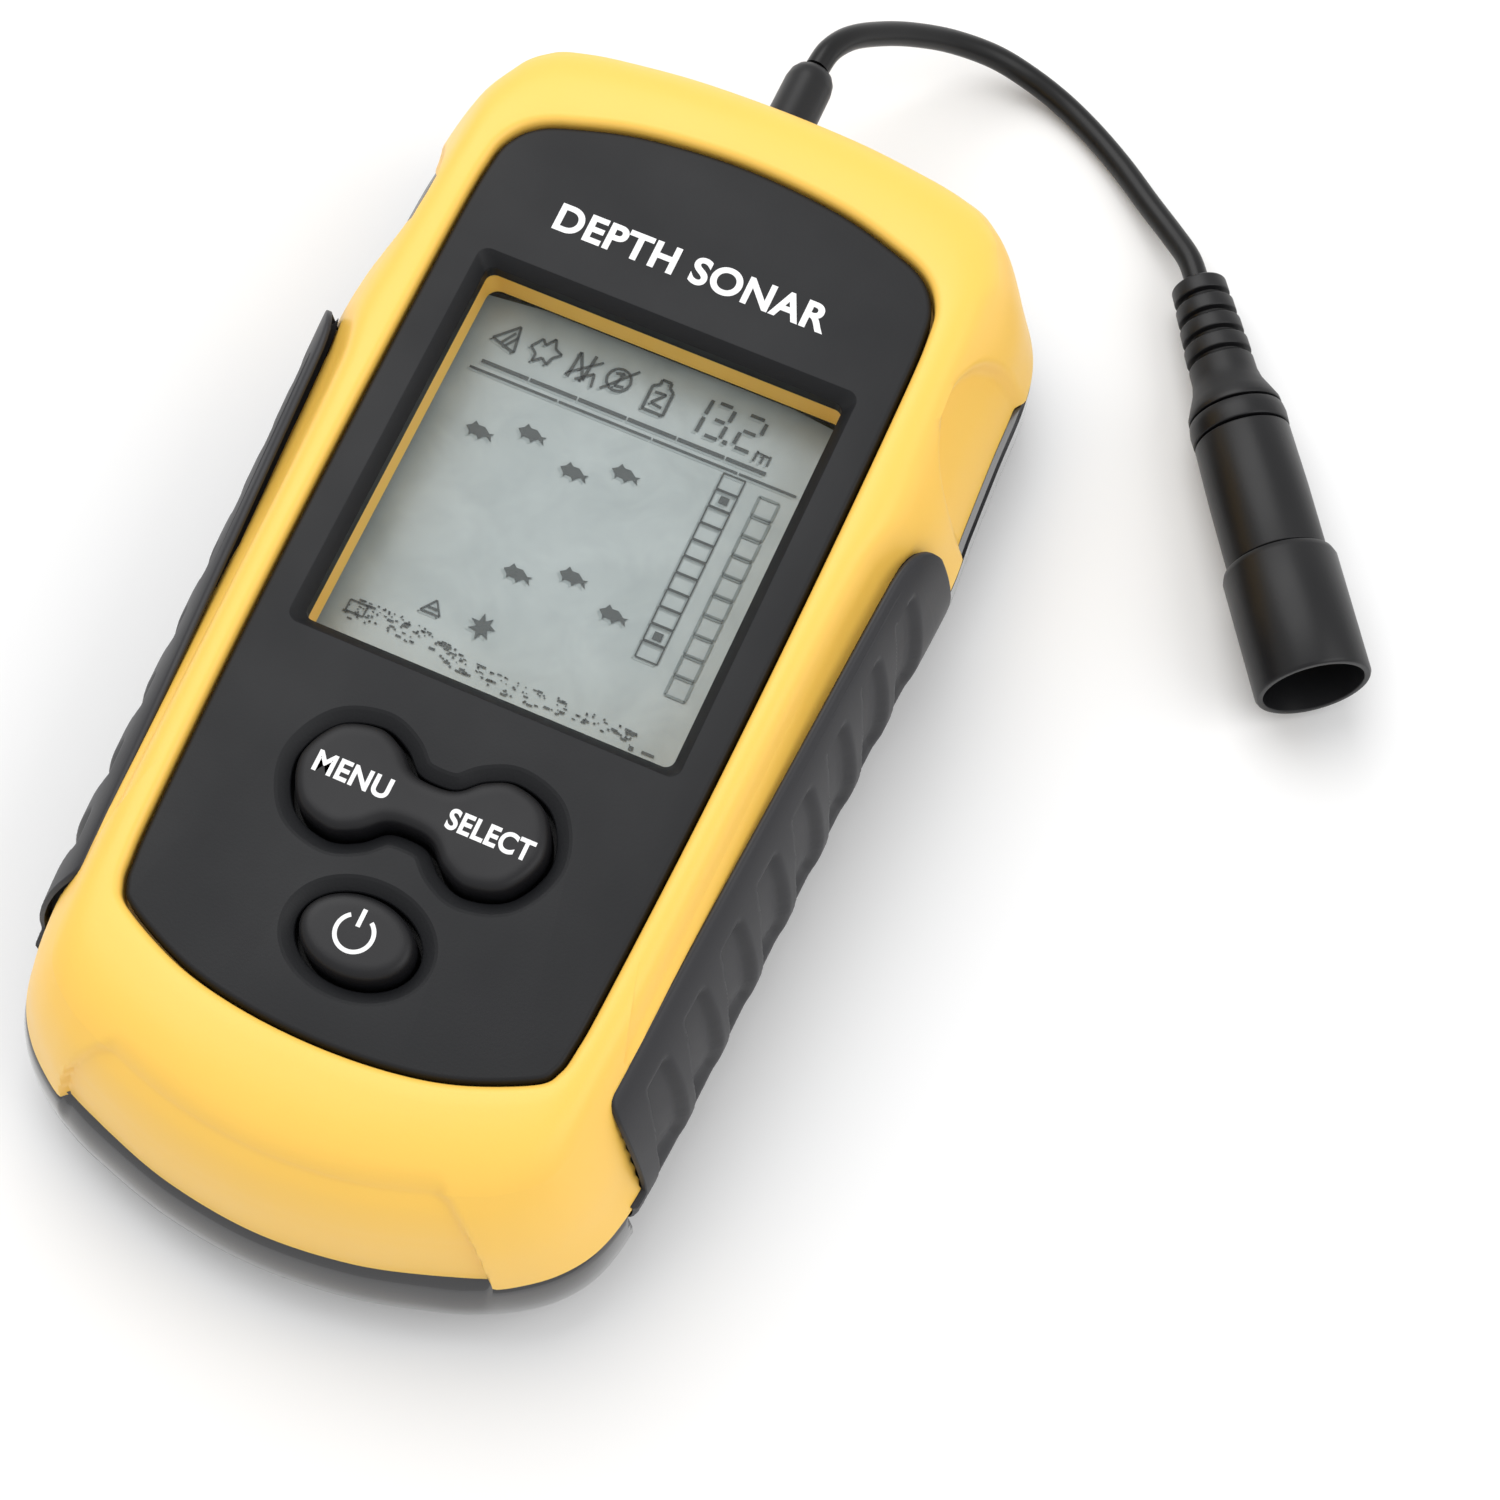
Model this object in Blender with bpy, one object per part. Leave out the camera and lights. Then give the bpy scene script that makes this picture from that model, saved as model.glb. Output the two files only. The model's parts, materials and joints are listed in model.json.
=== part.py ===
"""Hand-held fish finder: a portable sonar display with a short cable and a sensor socket.

The case lies on its back: +Z out of the screen, +Y towards the cable, +X to the right.
Dimensions are in millimetres and MM turns them into metres.
"""
import math

import bmesh
import bpy
from mathutils import Matrix, Vector

MM = 0.001
GAP = 0.3                       # running gap between neighbouring pieces

# ---- driving dimensions of the case -------------------------------------------------
CASE_LENGTH = 134.4
CASE_HEIGHT = 30.0
PART_LINE = 12.3                # height of the seam between front and back casing
WALL = 2.2
HALF_LENGTH = CASE_LENGTH / 2
OUTLINE_POINTS = 84

# ---- window, faceplate and display --------------------------------------------------
WINDOW_Y = 13.6
WINDOW_W = 41.0
WINDOW_H = 43.9
LIP_Z = 27.9                    # inner lip of the window bezel
PLATE_TOP = 29.3
PLATE_BOTTOM = 26.2
FLOOR_TOP = PLATE_BOTTOM - GAP  # recess floor that the faceplate lies on
FLOOR_BOTTOM = 23.9
COLLAR_BOTTOM = 22.3
LENS_TOP = COLLAR_BOTTOM - GAP
LENS_THICK = 1.2
LCD_TOP = LENS_TOP - LENS_THICK - GAP
LCD_THICK = 1.2
BEZEL_SLOPE = 1.2

# ---- keys ---------------------------------------------------------------------------
ROCKER_Y = -22.6
ROCKER_PIVOT_Z = 27.5
POWER_Y = -37.2
POWER_HALF_W = 6.1
POWER_HALF_H = 4.4
KEY_TOP = 31.0
KEY_CLEARANCE = 0.45
STEM_BOTTOM = 20.4
FLANGE_REACH = 0.9
LOBE_X = 7.6
STEM_R = 2.2

# ---- board --------------------------------------------------------------------------
BOARD_BOTTOM = 15.8
BOARD_TOP = 17.4
BOARD_HALF_W = 22.8
BOARD_LOW_Y = -61.0
BOARD_HIGH_Y = 57.0
ON_BOARD = BOARD_TOP + GAP

# ---- battery bay and door -----------------------------------------------------------
CELL_R = 5.25
CELL_PITCH = 10.7
CELL_BODY = 43.6
CELL_NUB = 0.9
BAY_HALF_W = 21.8
BAY_LOW_Y = -54.6
BAY_HIGH_Y = -5.2
BAY_MID_Y = (BAY_LOW_Y + BAY_HIGH_Y) / 2
BAY_TOP = 14.1
BAY_ROOF = 15.2
CELL_Z = BAY_TOP - 0.3 - CELL_R
DOOR_TOP = 2.0
DOOR_STEP_Z = 1.0
DOOR_BOTTOM = 0.4
DOOR_HALF_W = 23.2
RAIL_REACH = 1.3
DOOR_HIGH_Y = -1.2
DOOR_SEAT = DOOR_TOP + GAP
SEAT_TOP = 3.6

# ---- screws -------------------------------------------------------------------------
CASE_SCREWS = [(-27.0, 52.0), (27.0, 52.0), (-27.0, -48.0), (27.0, -48.0)]
BOARD_SCREWS = [(-20.0, 50.0), (20.0, 50.0), (-12.0, -58.3), (12.0, -58.3)]

# ---- cable and connector ------------------------------------------------------------
CABLE_D = 2.8
RELIEF_Z = 20.0
RELIEF_NECK_R = 2.75
RELIEF_END_Y = 75.7
CABLE_ROUTE = [
    (0.0, 76.0, 20.0), (0.3, 79.0, 19.6), (1.5, 82.3, 18.1), (3.7, 85.8, 15.3), (6.5, 89.2, 12.0),
    (10.2, 92.4, 8.3), (14.8, 94.5, 5.0), (19.2, 94.8, 2.9), (23.9, 93.8, 1.8), (28.6, 91.7, 1.5),
    (33.4, 88.8, 1.6), (38.0, 85.3, 2.2), (42.1, 82.1, 3.1), (45.1, 79.5, 3.9), (46.98, 77.05, 4.18),
]
CONNECTOR_START = (47.15, 76.8, 4.2)
CONNECTOR_TURN = 34.6           # degrees from -Y towards +X
CONNECTOR_TILT = 4.0            # the mouth is the higher end
BOOT_LENGTH = 17.6
RING_LENGTH = 2.5
BODY_END = 36.3
SLEEVE_END = 51.7
SLEEVE_R = 6.4
SLEEVE_BORE_R = 5.5

# Half outlines, from the cable end round the right side to the lower end.
CASE_HALF = [
    (0.0, 67.2), (10.0, 66.9), (20.0, 65.7), (25.5, 64.7), (30.6, 62.2), (34.4, 57.2), (36.0, 51.0),
    (35.6, 43.0), (36.2, 34.0), (36.9, 26.0), (36.0, 10.0), (35.2, -12.0), (34.6, -36.0),
    (34.5, -47.0), (33.4, -53.2), (30.0, -58.4), (23.0, -62.4), (12.0, -65.6), (0.0, -66.6),
]
PLATE_HALF = [
    (0.0, 56.5), (11.0, 55.6), (19.5, 53.4), (23.6, 50.8), (25.2, 47.0), (25.5, 38.0), (25.5, 15.0),
    (25.1, -11.0), (24.3, -33.0), (23.8, -39.5), (23.2, -41.9), (21.4, -43.5), (15.0, -46.2),
    (8.0, -47.7), (0.0, -48.1),
]
ROCKER_RIGHT = [
    (0.0, 2.7), (2.4, 3.1), (4.6, 5.0), (7.6, 6.0), (11.6, 4.5), (13.6, 0.0), (11.6, -4.5),
    (7.6, -6.0), (4.6, -5.0), (2.4, -3.1), (0.0, -2.7),
]
GRIP_LOW_Y = -46.5
GRIP_HIGH_Y = 27.0
GRIP_TOP_Z = 25.0
GRIP_BOTTOM_Z = 5.6
GRIP_THICK = 3.2
RUNOUT = 4.6


# ---- helpers ------------------------------------------------------------------------
def clear_scene():
    for item in list(bpy.data.objects):
        bpy.data.objects.remove(item, do_unlink=True)


def finish(name, colour, roughness, metallic=0.0):
    """One Principled material with a linear base colour."""
    made = bpy.data.materials.new(name)
    made.use_nodes = True
    shader = made.node_tree.nodes["Principled BSDF"]
    shader.inputs["Base Color"].default_value = (*colour, 1.0)
    shader.inputs["Roughness"].default_value = roughness
    shader.inputs["Metallic"].default_value = metallic
    made.diffuse_color = (*colour, 1.0)
    return made


def place(name, bm, material, location=(0, 0, 0), parent=None, smooth_angle=None):
    """Turn a bmesh in millimetres into a named object at a location in millimetres."""
    bmesh.ops.remove_doubles(bm, verts=bm.verts, dist=1e-4)
    bmesh.ops.recalc_face_normals(bm, faces=bm.faces)
    bmesh.ops.scale(bm, vec=(MM, MM, MM), verts=bm.verts)
    mesh = bpy.data.meshes.new(name)
    bm.to_mesh(mesh)
    bm.free()
    mesh.materials.append(material)
    if smooth_angle is not None:
        mesh.shade_smooth()
        mesh.set_sharp_from_angle(angle=math.radians(smooth_angle))
    made = bpy.data.objects.new(name, mesh)
    made.location = Vector(location) * MM
    made.parent = parent
    bpy.context.scene.collection.objects.link(made)
    return made


def spline_points(points, closed, steps=10):
    """Catmull-Rom curve through the points."""
    count = len(points)
    runs = count if closed else count - 1
    found = []
    for run in range(runs):
        def pick(offset):
            index = run + offset
            return Vector(points[index % count if closed else min(max(index, 0), count - 1)])
        before, start, end, after = pick(-1), pick(0), pick(1), pick(2)
        for step in range(steps):
            t = step / steps
            found.append(0.5 * (2 * start + (end - before) * t
                                + (2 * before - 5 * start + 4 * end - after) * t * t
                                + (3 * start - before - 3 * end + after) * t ** 3))
    if not closed:
        found.append(Vector(points[-1]))
    return found


def even_points(points, closed, count):
    """The same run of points, spaced evenly."""
    ring = points + [points[0]] if closed else points
    lengths = [0.0]
    for one, two in zip(ring, ring[1:]):
        lengths.append(lengths[-1] + (two - one).length)
    gaps = count if closed else count - 1
    found = []
    leg = 0
    for index in range(count):
        target = lengths[-1] * index / gaps
        while leg < len(ring) - 2 and lengths[leg + 1] < target:
            leg += 1
        share = (target - lengths[leg]) / max(lengths[leg + 1] - lengths[leg], 1e-9)
        found.append(ring[leg].lerp(ring[leg + 1], min(share, 1.0)))
    return found


def mirrored(half):
    """Close a right-hand half outline with its mirror image."""
    return half + [(-x, y) for x, y in reversed(half[1:-1])]


def outline(half, count=OUTLINE_POINTS):
    return even_points(spline_points(mirrored(half), closed=True), True, count)


def rounded_box(width, height, radius, centre=(0.0, 0.0), count=OUTLINE_POINTS):
    """A rectangle with round corners that starts at the middle of its upper edge."""
    reach_x = width / 2 - radius
    reach_y = height / 2 - radius
    points = [Vector((0.0, height / 2))]
    for sx, sy, first in ((1, 1, 90), (1, -1, 0), (-1, -1, -90), (-1, 1, -180)):
        for step in range(5):
            angle = math.radians(first - 22.5 * step)
            points.append(Vector((sx * reach_x + radius * math.cos(angle),
                                  sy * reach_y + radius * math.sin(angle))))
    ring = even_points(points, True, count)
    return [point + Vector(centre) for point in ring]


def ellipse(half_w, half_h, centre=(0.0, 0.0), count=32):
    return [Vector((centre[0] + half_w * math.sin(2 * math.pi * i / count),
                    centre[1] + half_h * math.cos(2 * math.pi * i / count))) for i in range(count)]


def outward(ring):
    """Outward unit normals of a clockwise ring."""
    count = len(ring)
    found = []
    for index in range(count):
        along = ring[(index + 1) % count] - ring[index - 1]
        found.append(Vector((-along.y, along.x)).normalized())
    return found


def inset(ring, side, end=None):
    """Move a ring inwards: by `side` where it faces sideways and by `end` where it faces along Y."""
    end = side if end is None else end
    moved = []
    for point, normal in zip(ring, outward(ring)):
        moved.append(point - normal * (side * normal.x ** 2 + end * normal.y ** 2))
    return moved


def at_height(ring, z):
    return [Vector((point.x, point.y, z)) for point in ring]


def loft(rings, ends="caps", bm=None):
    """Extrude a loop of edges from ring to ring. Ends are capped, or the last meets the first."""
    bm = bm or bmesh.new()
    slot = bm.verts.layers.int.get("slot") or bm.verts.layers.int.new("slot")
    verts = []
    for index, point in enumerate(rings[0]):
        vert = bm.verts.new(point)
        vert[slot] = index
        verts.append(vert)
    edges = [bm.edges.new((verts[index - 1], verts[index])) for index in range(len(verts))]
    first = edges
    for ring in rings[1:] + ([rings[0]] if ends == "ring" else []):
        grown = bmesh.ops.extrude_edge_only(bm, edges=edges)["geom"]
        fresh = [item for item in grown if isinstance(item, bmesh.types.BMVert)]
        kept = set(fresh)
        edges = [item for item in grown if isinstance(item, bmesh.types.BMEdge)
                 and item.verts[0] in kept and item.verts[1] in kept]
        for vert in fresh:
            vert.co = ring[vert[slot]]
    if ends == "caps":
        bmesh.ops.edgeloop_fill(bm, edges=first)
        bmesh.ops.edgeloop_fill(bm, edges=edges)
    return bm


def block(low, high):
    """A box between two corners."""
    bm = bmesh.new()
    low, high = Vector(low), Vector(high)
    bmesh.ops.create_cube(bm, size=1.0, matrix=Matrix.Translation((low + high) / 2)
                          @ Matrix.Diagonal((*(high - low), 1.0)))
    return bm


def rod(radius, z_low, z_high, centre=(0.0, 0.0), sides=20):
    bm = bmesh.new()
    bmesh.ops.create_cone(bm, cap_ends=True, segments=sides, radius1=radius, radius2=radius,
                          depth=z_high - z_low,
                          matrix=Matrix.Translation((*centre, (z_low + z_high) / 2)))
    return bm


def turned(profile, sides=24):
    """Spin a profile of (radius, height) points, bottom to top, about Z. Radius 0 closes an end."""
    bm = bmesh.new()
    verts = [bm.verts.new((radius, 0.0, height)) for radius, height in profile]
    edges = [bm.edges.new(pair) for pair in zip(verts, verts[1:])]
    if profile[0][0] > 0:
        edges.append(bm.edges.new((verts[-1], verts[0])))
    bmesh.ops.spin(bm, geom=verts + edges, cent=(0, 0, 0), axis=(0, 0, 1),
                   angle=2 * math.pi, steps=sides, use_merge=True)
    bmesh.ops.remove_doubles(bm, verts=bm.verts, dist=1e-4)
    return bm


def combine(target, cutters, operation):
    """Apply Boolean modifiers one after another and remove the tools."""
    for cutter in cutters:
        tool = place("tool", cutter, target.data.materials[0])
        tool.hide_render = True
        tool.display_type = "WIRE"
        change = target.modifiers.new("change", "BOOLEAN")
        change.operation = operation
        change.solver = "EXACT"
        change.object = tool
        bpy.context.view_layer.update()
        graph = bpy.context.evaluated_depsgraph_get()
        mesh = bpy.data.meshes.new_from_object(target.evaluated_get(graph))
        target.modifiers.clear()
        target.data = mesh
        bpy.data.objects.remove(tool, do_unlink=True)


def tube(name, points, diameter, material, resolution=2):
    """A cord along points in millimetres, with closed ends."""
    curve = bpy.data.curves.new(name, "CURVE")
    curve.dimensions = "3D"
    curve.bevel_depth = diameter / 2 * MM
    curve.bevel_resolution = resolution
    curve.use_fill_caps = True
    run = curve.splines.new("POLY")
    run.points.add(len(points) - 1)
    for item, point in zip(run.points, points):
        item.co = (*(Vector(point) * MM), 1.0)
    curve.materials.append(material)
    made = bpy.data.objects.new(name, curve)
    bpy.context.scene.collection.objects.link(made)
    return made


# ---- shared outlines ----------------------------------------------------------------
def grip_face(y):
    """Half width of the side pocket floor that a grip is bonded to."""
    return case_half_width(y) - GRIP_THICK


def case_half_width(y):
    """Half width of the case at a height along it, between the points of its outline."""
    widths = []
    for index, point in enumerate(CASE_RING):
        after = CASE_RING[(index + 1) % len(CASE_RING)]
        if min(point.y, after.y) <= y <= max(point.y, after.y) and point.y != after.y:
            share = (y - point.y) / (after.y - point.y)
            widths.append(point.x + (after.x - point.x) * share)
    return max(widths)


def skin(side, end, pocket):
    """The case outline moved inwards. Where a grip lies, the side is its pocket floor or deeper."""
    moved = []
    for start, point in zip(CASE_RING, inset(CASE_RING, side, end)):
        if GRIP_LOW_Y - RUNOUT < start.y < GRIP_HIGH_Y + RUNOUT and abs(start.x) > 10:
            limit = grip_face(start.y) - pocket
            point = Vector((math.copysign(min(abs(point.x), limit), point.x), point.y))
        moved.append(point)
    return moved


# ---- casings ------------------------------------------------------------------------
def make_front_casing(material):
    base = CASE_RING
    plate = outline(PLATE_HALF)
    opening = rounded_box(WINDOW_W + 0.4, WINDOW_H + 0.4, 1.2, (0.0, WINDOW_Y))
    collar = rounded_box(WINDOW_W + 3.0, WINDOW_H + 3.0, 2.0, (0.0, WINDOW_Y))
    recess = inset(plate, -GAP)
    rings = [
        at_height(skin(0.0, 0.0, 0.0), PART_LINE),
        at_height(skin(1.2, 0.1, 0.2), 18.0),
        at_height(skin(2.6, 0.4, 0.6), 23.0),
        at_height(skin(3.7, 0.9, 0.9), 25.6),
        at_height(inset(base, 4.7, 2.0), 28.0),
        at_height(inset(base, 5.8, 3.4), 29.5),
        at_height(inset(base, 7.2, 5.2), CASE_HEIGHT),
        at_height(inset(recess, -0.8), CASE_HEIGHT),
        at_height(inset(recess, -0.2), CASE_HEIGHT - 0.25),
        at_height(recess, CASE_HEIGHT - 0.9),
        at_height(recess, FLOOR_TOP),
        at_height(opening, FLOOR_TOP),
        at_height(opening, COLLAR_BOTTOM),
        at_height(collar, COLLAR_BOTTOM),
        at_height(collar, FLOOR_BOTTOM),
        at_height(inset(CASE_RING, 7.4, 3.6), FLOOR_BOTTOM),
        at_height(skin(WALL + 1.6, WALL + 0.2, WALL + 0.4), 19.0),
        at_height(skin(WALL, WALL, WALL), PART_LINE + 1.3),
        at_height(skin(1.1, 1.1, 1.1), PART_LINE + 1.3),
        at_height(skin(1.1, 1.1, 1.1), PART_LINE),
    ]
    casing = place("front_casing", loft(rings, "ring"), material, smooth_angle=40)
    posts = [rod(3.0, PART_LINE + 1.6, FLOOR_BOTTOM + 1.0, centre) for centre in CASE_SCREWS]
    posts += [rod(2.4, ON_BOARD, FLOOR_BOTTOM + 1.0, centre) for centre in BOARD_SCREWS]
    combine(casing, posts, "UNION")
    holes = [rod(1.55, PART_LINE, 22.6, centre, 12) for centre in CASE_SCREWS]
    holes += [rod(1.2, 16.0, 22.0, centre, 12) for centre in BOARD_SCREWS]
    rocker = inset(rocker_outline(), -(FLANGE_REACH + 0.6))
    power = inset(ellipse(POWER_HALF_W, POWER_HALF_H, (0.0, POWER_Y)), -(FLANGE_REACH + 0.6))
    for shape in (rocker, power):
        holes.append(loft([at_height(shape, FLOOR_BOTTOM - 1.0), at_height(shape, FLOOR_TOP + 1.0)]))
    cable_hole = rod(RELIEF_NECK_R + GAP, -8.0, 8.0, sides=16)
    bmesh.ops.transform(cable_hole, verts=cable_hole.verts,
                        matrix=Matrix.Translation((0.0, HALF_LENGTH, RELIEF_Z))
                        @ Matrix.Rotation(math.pi / 2, 4, "X"))
    combine(casing, holes + [cable_hole], "DIFFERENCE")
    return casing


def make_back_casing(material):
    def bulged(side, end, pocket):
        """The lower end swells a little below the seam."""
        moved = []
        for point in skin(side, end, pocket):
            swell = 0.6 * max(0.0, 1.0 - (point.x / 26.0) ** 2) if point.y < -55.0 else 0.0
            moved.append(Vector((point.x, point.y - swell)))
        return moved

    wall = WALL + 0.2
    rings = [
        at_height(skin(7.6, 7.6, 4.4), 2.3),
        at_height(skin(wall + 1.2, wall + 1.2, wall + 0.8), 4.2),
        at_height(skin(wall, wall, wall), 7.0),
        at_height(skin(wall, wall, wall), PART_LINE - GAP),
        at_height(skin(0.25, 0.25, 0.0), PART_LINE - GAP),
        at_height(bulged(0.0, 0.0, 0.0), 8.0),
        at_height(bulged(0.7, 0.7, 0.1), 4.5),
        at_height(bulged(2.0, 2.0, 0.6), 2.0),
        at_height(bulged(3.8, 3.8, 1.6), 0.5),
        at_height(bulged(5.6, 5.6, 3.0), 0.0),
    ]
    casing = place("back_casing", loft(rings), material, smooth_angle=40)
    bay_wall = 1.3
    added = [block((-BAY_HALF_W - bay_wall, BAY_LOW_Y - bay_wall, 1.0),
                   (BAY_HALF_W + bay_wall, BAY_HIGH_Y + bay_wall, BAY_ROOF)),
             block((-26.2, -57.6, 1.0), (26.2, 1.4, SEAT_TOP))]
    added += [rod(3.5, 1.5, PART_LINE - GAP, centre) for centre in CASE_SCREWS]
    combine(casing, added, "UNION")
    rail = DOOR_HALF_W + RAIL_REACH + GAP
    removed = [block((-BAY_HALF_W, BAY_LOW_Y, -1.0), (BAY_HALF_W, BAY_HIGH_Y, BAY_TOP)),
               block((-rail, -80.0, DOOR_STEP_Z - GAP), (rail, DOOR_HIGH_Y + GAP, DOOR_SEAT)),
               block((-DOOR_HALF_W - GAP, -80.0, -1.0),
                     (DOOR_HALF_W + GAP, DOOR_HIGH_Y + GAP, DOOR_SEAT))]
    for centre in CASE_SCREWS:
        removed.append(rod(1.6, -1.0, PART_LINE + 1.0, centre, 12))
        removed.append(rod(2.7, -1.0, 3.0, centre, 16))
    combine(casing, removed, "DIFFERENCE")
    return casing


def make_gasket(material):
    outer = skin(1.4, 1.4, 1.4)
    inner = skin(2.2, 2.2, 2.2)
    low, high = PART_LINE, PART_LINE + 1.0
    rings = [at_height(outer, low), at_height(outer, high), at_height(inner, high), at_height(inner, low)]
    return place("casing_gasket", loft(rings, "ring"), material)


def make_faceplate(material):
    plate = outline(PLATE_HALF)
    bezel = rounded_box(WINDOW_W + 2 * BEZEL_SLOPE, WINDOW_H + 2 * BEZEL_SLOPE, 0.8, (0.0, WINDOW_Y))
    lip = rounded_box(WINDOW_W, WINDOW_H, 1.0, (0.0, WINDOW_Y))
    rings = [
        at_height(plate, PLATE_BOTTOM),
        at_height(plate, PLATE_TOP - 0.35),
        at_height(inset(plate, 0.4), PLATE_TOP),
        at_height(bezel, PLATE_TOP),
        at_height(lip, LIP_Z),
        at_height(lip, PLATE_BOTTOM),
    ]
    made = place("faceplate", loft(rings, "ring"), material, smooth_angle=30)
    cutters = []
    for shape in (rocker_outline(), ellipse(POWER_HALF_W, POWER_HALF_H, (0.0, POWER_Y))):
        hole = inset(shape, -KEY_CLEARANCE)
        dish = inset(shape, -(KEY_CLEARANCE + 1.5))
        cutters.append(loft([at_height(hole, PLATE_BOTTOM - 1.0), at_height(hole, PLATE_TOP - 0.7),
                             at_height(dish, PLATE_TOP + 0.1), at_height(dish, PLATE_TOP + 1.0)]))
    combine(made, cutters, "DIFFERENCE")
    return made


# ---- keys ---------------------------------------------------------------------------
def rocker_outline():
    ring = even_points(spline_points(mirrored(ROCKER_RIGHT), True, 6), True, 48)
    return [point + Vector((0.0, ROCKER_Y)) for point in ring]


def key_rings(shape):
    """Flange under the faceplate, drafted wall and crowned top of a key."""
    flange = inset(shape, -FLANGE_REACH)
    return [
        at_height(flange, 24.2), at_height(flange, 25.2),
        at_height(shape, 25.2), at_height(inset(shape, 0.2), KEY_TOP - 0.8),
        at_height(inset(shape, 0.55), KEY_TOP - 0.25), at_height(inset(shape, 1.4), KEY_TOP),
    ]


def make_key(name, shape, stems, origin, material):
    key = loft(key_rings(shape))
    bmesh.ops.translate(key, verts=key.verts, vec=-Vector(origin))
    made = place(name, key, material, origin, smooth_angle=35)
    combine(made, [rod(STEM_R, STEM_BOTTOM, 24.6, centre, 16) for centre in stems], "UNION")
    return made


def make_membrane(material):
    made = place("keypad_membrane", block((-17.0, -44.0, ON_BOARD), (17.0, -14.0, ON_BOARD + 0.7)), material)
    domes = []
    for centre in ((-LOBE_X, ROCKER_Y), (LOBE_X, ROCKER_Y), (0.0, POWER_Y)):
        bm = turned([(0.0, ON_BOARD + 0.2), (4.2, ON_BOARD + 0.2), (3.4, 18.9), (2.4, 19.5), (0.0, 19.5)], 16)
        bmesh.ops.translate(bm, verts=bm.verts, vec=(*centre, 0.0))
        domes.append(bm)
    combine(made, domes, "UNION")
    return made


# ---- grips --------------------------------------------------------------------------
def make_grip(name, side, material):
    """A rubber grip lofted along Y from flat-backed sections that shrink towards round ends."""
    stations = 30
    rings = []
    for index in range(stations):
        turn = math.pi * (index + 0.5) / stations
        share = (1 - math.cos(turn)) / 2
        y = GRIP_LOW_Y + 0.6 + (GRIP_HIGH_Y - GRIP_LOW_Y - 1.2) * share
        end = min(y - GRIP_LOW_Y, GRIP_HIGH_Y - y)
        fill = math.sqrt(max(0.02, 1 - max(0.0, 1 - end / 9.0) ** 2))
        middle = (GRIP_TOP_Z + GRIP_BOTTOM_Z) / 2 + (1 - fill) * 1.5
        half = (GRIP_TOP_Z - GRIP_BOTTOM_Z) / 2 * fill
        back = grip_face(y) + GAP
        depth = case_half_width(y) - back
        section = [(back, middle - half), (back, middle + half)]
        for step in range(7):
            angle = math.radians(80 - 160 * step / 6)
            section.append((back + depth * (0.25 + 0.75 * math.cos(angle)) * (0.4 + 0.6 * fill),
                            middle + half * math.sin(angle) / math.sin(math.radians(80))))
        rings.append([Vector((side * x, y, z)) for x, z in section])
    return place(name, loft(rings), material, smooth_angle=45)


# ---- display and board --------------------------------------------------------------
def framed(name, outer, inner, z_low, z_high, material):
    rings = [at_height(outer, z_low), at_height(outer, z_high), at_height(inner, z_high), at_height(inner, z_low)]
    return place(name, loft(rings, "ring"), material)


def make_display(clear, glass, diffuser, black):
    middle = (0.0, WINDOW_Y)
    lens = rounded_box(WINDOW_W + 4.4, WINDOW_H + 4.4, 2.0, middle, 40)
    place("window_lens", loft([at_height(lens, LENS_TOP - LENS_THICK), at_height(lens, LENS_TOP)]), clear)
    panel = rounded_box(43.0, 45.6, 0.6, middle, 24)
    place("lcd_panel", loft([at_height(panel, LCD_TOP - LCD_THICK), at_height(panel, LCD_TOP)]), glass)
    guide = rounded_box(42.6, 45.2, 0.6, middle, 24)
    place("backlight_guide", loft([at_height(guide, ON_BOARD), at_height(guide, LCD_TOP - LCD_THICK - GAP)]),
          diffuser)
    framed("lcd_frame", rounded_box(47.2, 50.2, 1.5, middle, 40), rounded_box(43.7, 46.3, 0.8, middle, 40),
           ON_BOARD, LCD_TOP, black)


def make_board(board_green, chip_black, gold, black):
    middle = (0.0, (BOARD_LOW_Y + BOARD_HIGH_Y) / 2)
    shape = rounded_box(2 * BOARD_HALF_W, BOARD_HIGH_Y - BOARD_LOW_Y, 7.0, middle, 48)
    board = place("main_board", loft([at_height(shape, BOARD_BOTTOM), at_height(shape, BOARD_TOP)]), board_green)
    combine(board, [rod(1.2, 10.0, 20.0, centre, 12) for centre in BOARD_SCREWS], "DIFFERENCE")
    place("main_chip", block((-15.0, 41.0, ON_BOARD), (-4.0, 52.0, ON_BOARD + 1.4)), chip_black)
    place("buzzer", rod(6.0, ON_BOARD, ON_BOARD + 5.0, (8.0, 47.5)), black, smooth_angle=40)
    under = BOARD_BOTTOM - GAP
    place("sonar_transformer", rod(5.0, under - 8.5, under, (10.0, 22.0)), gold, smooth_angle=40)
    place("power_capacitor", rod(4.0, under - 10.0, under, (-9.0, 22.0)), chip_black, smooth_angle=40)
    place("lead_socket", block((-4.5, 47.0, under - 5.0), (4.5, 53.0, under)), gold)


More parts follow.
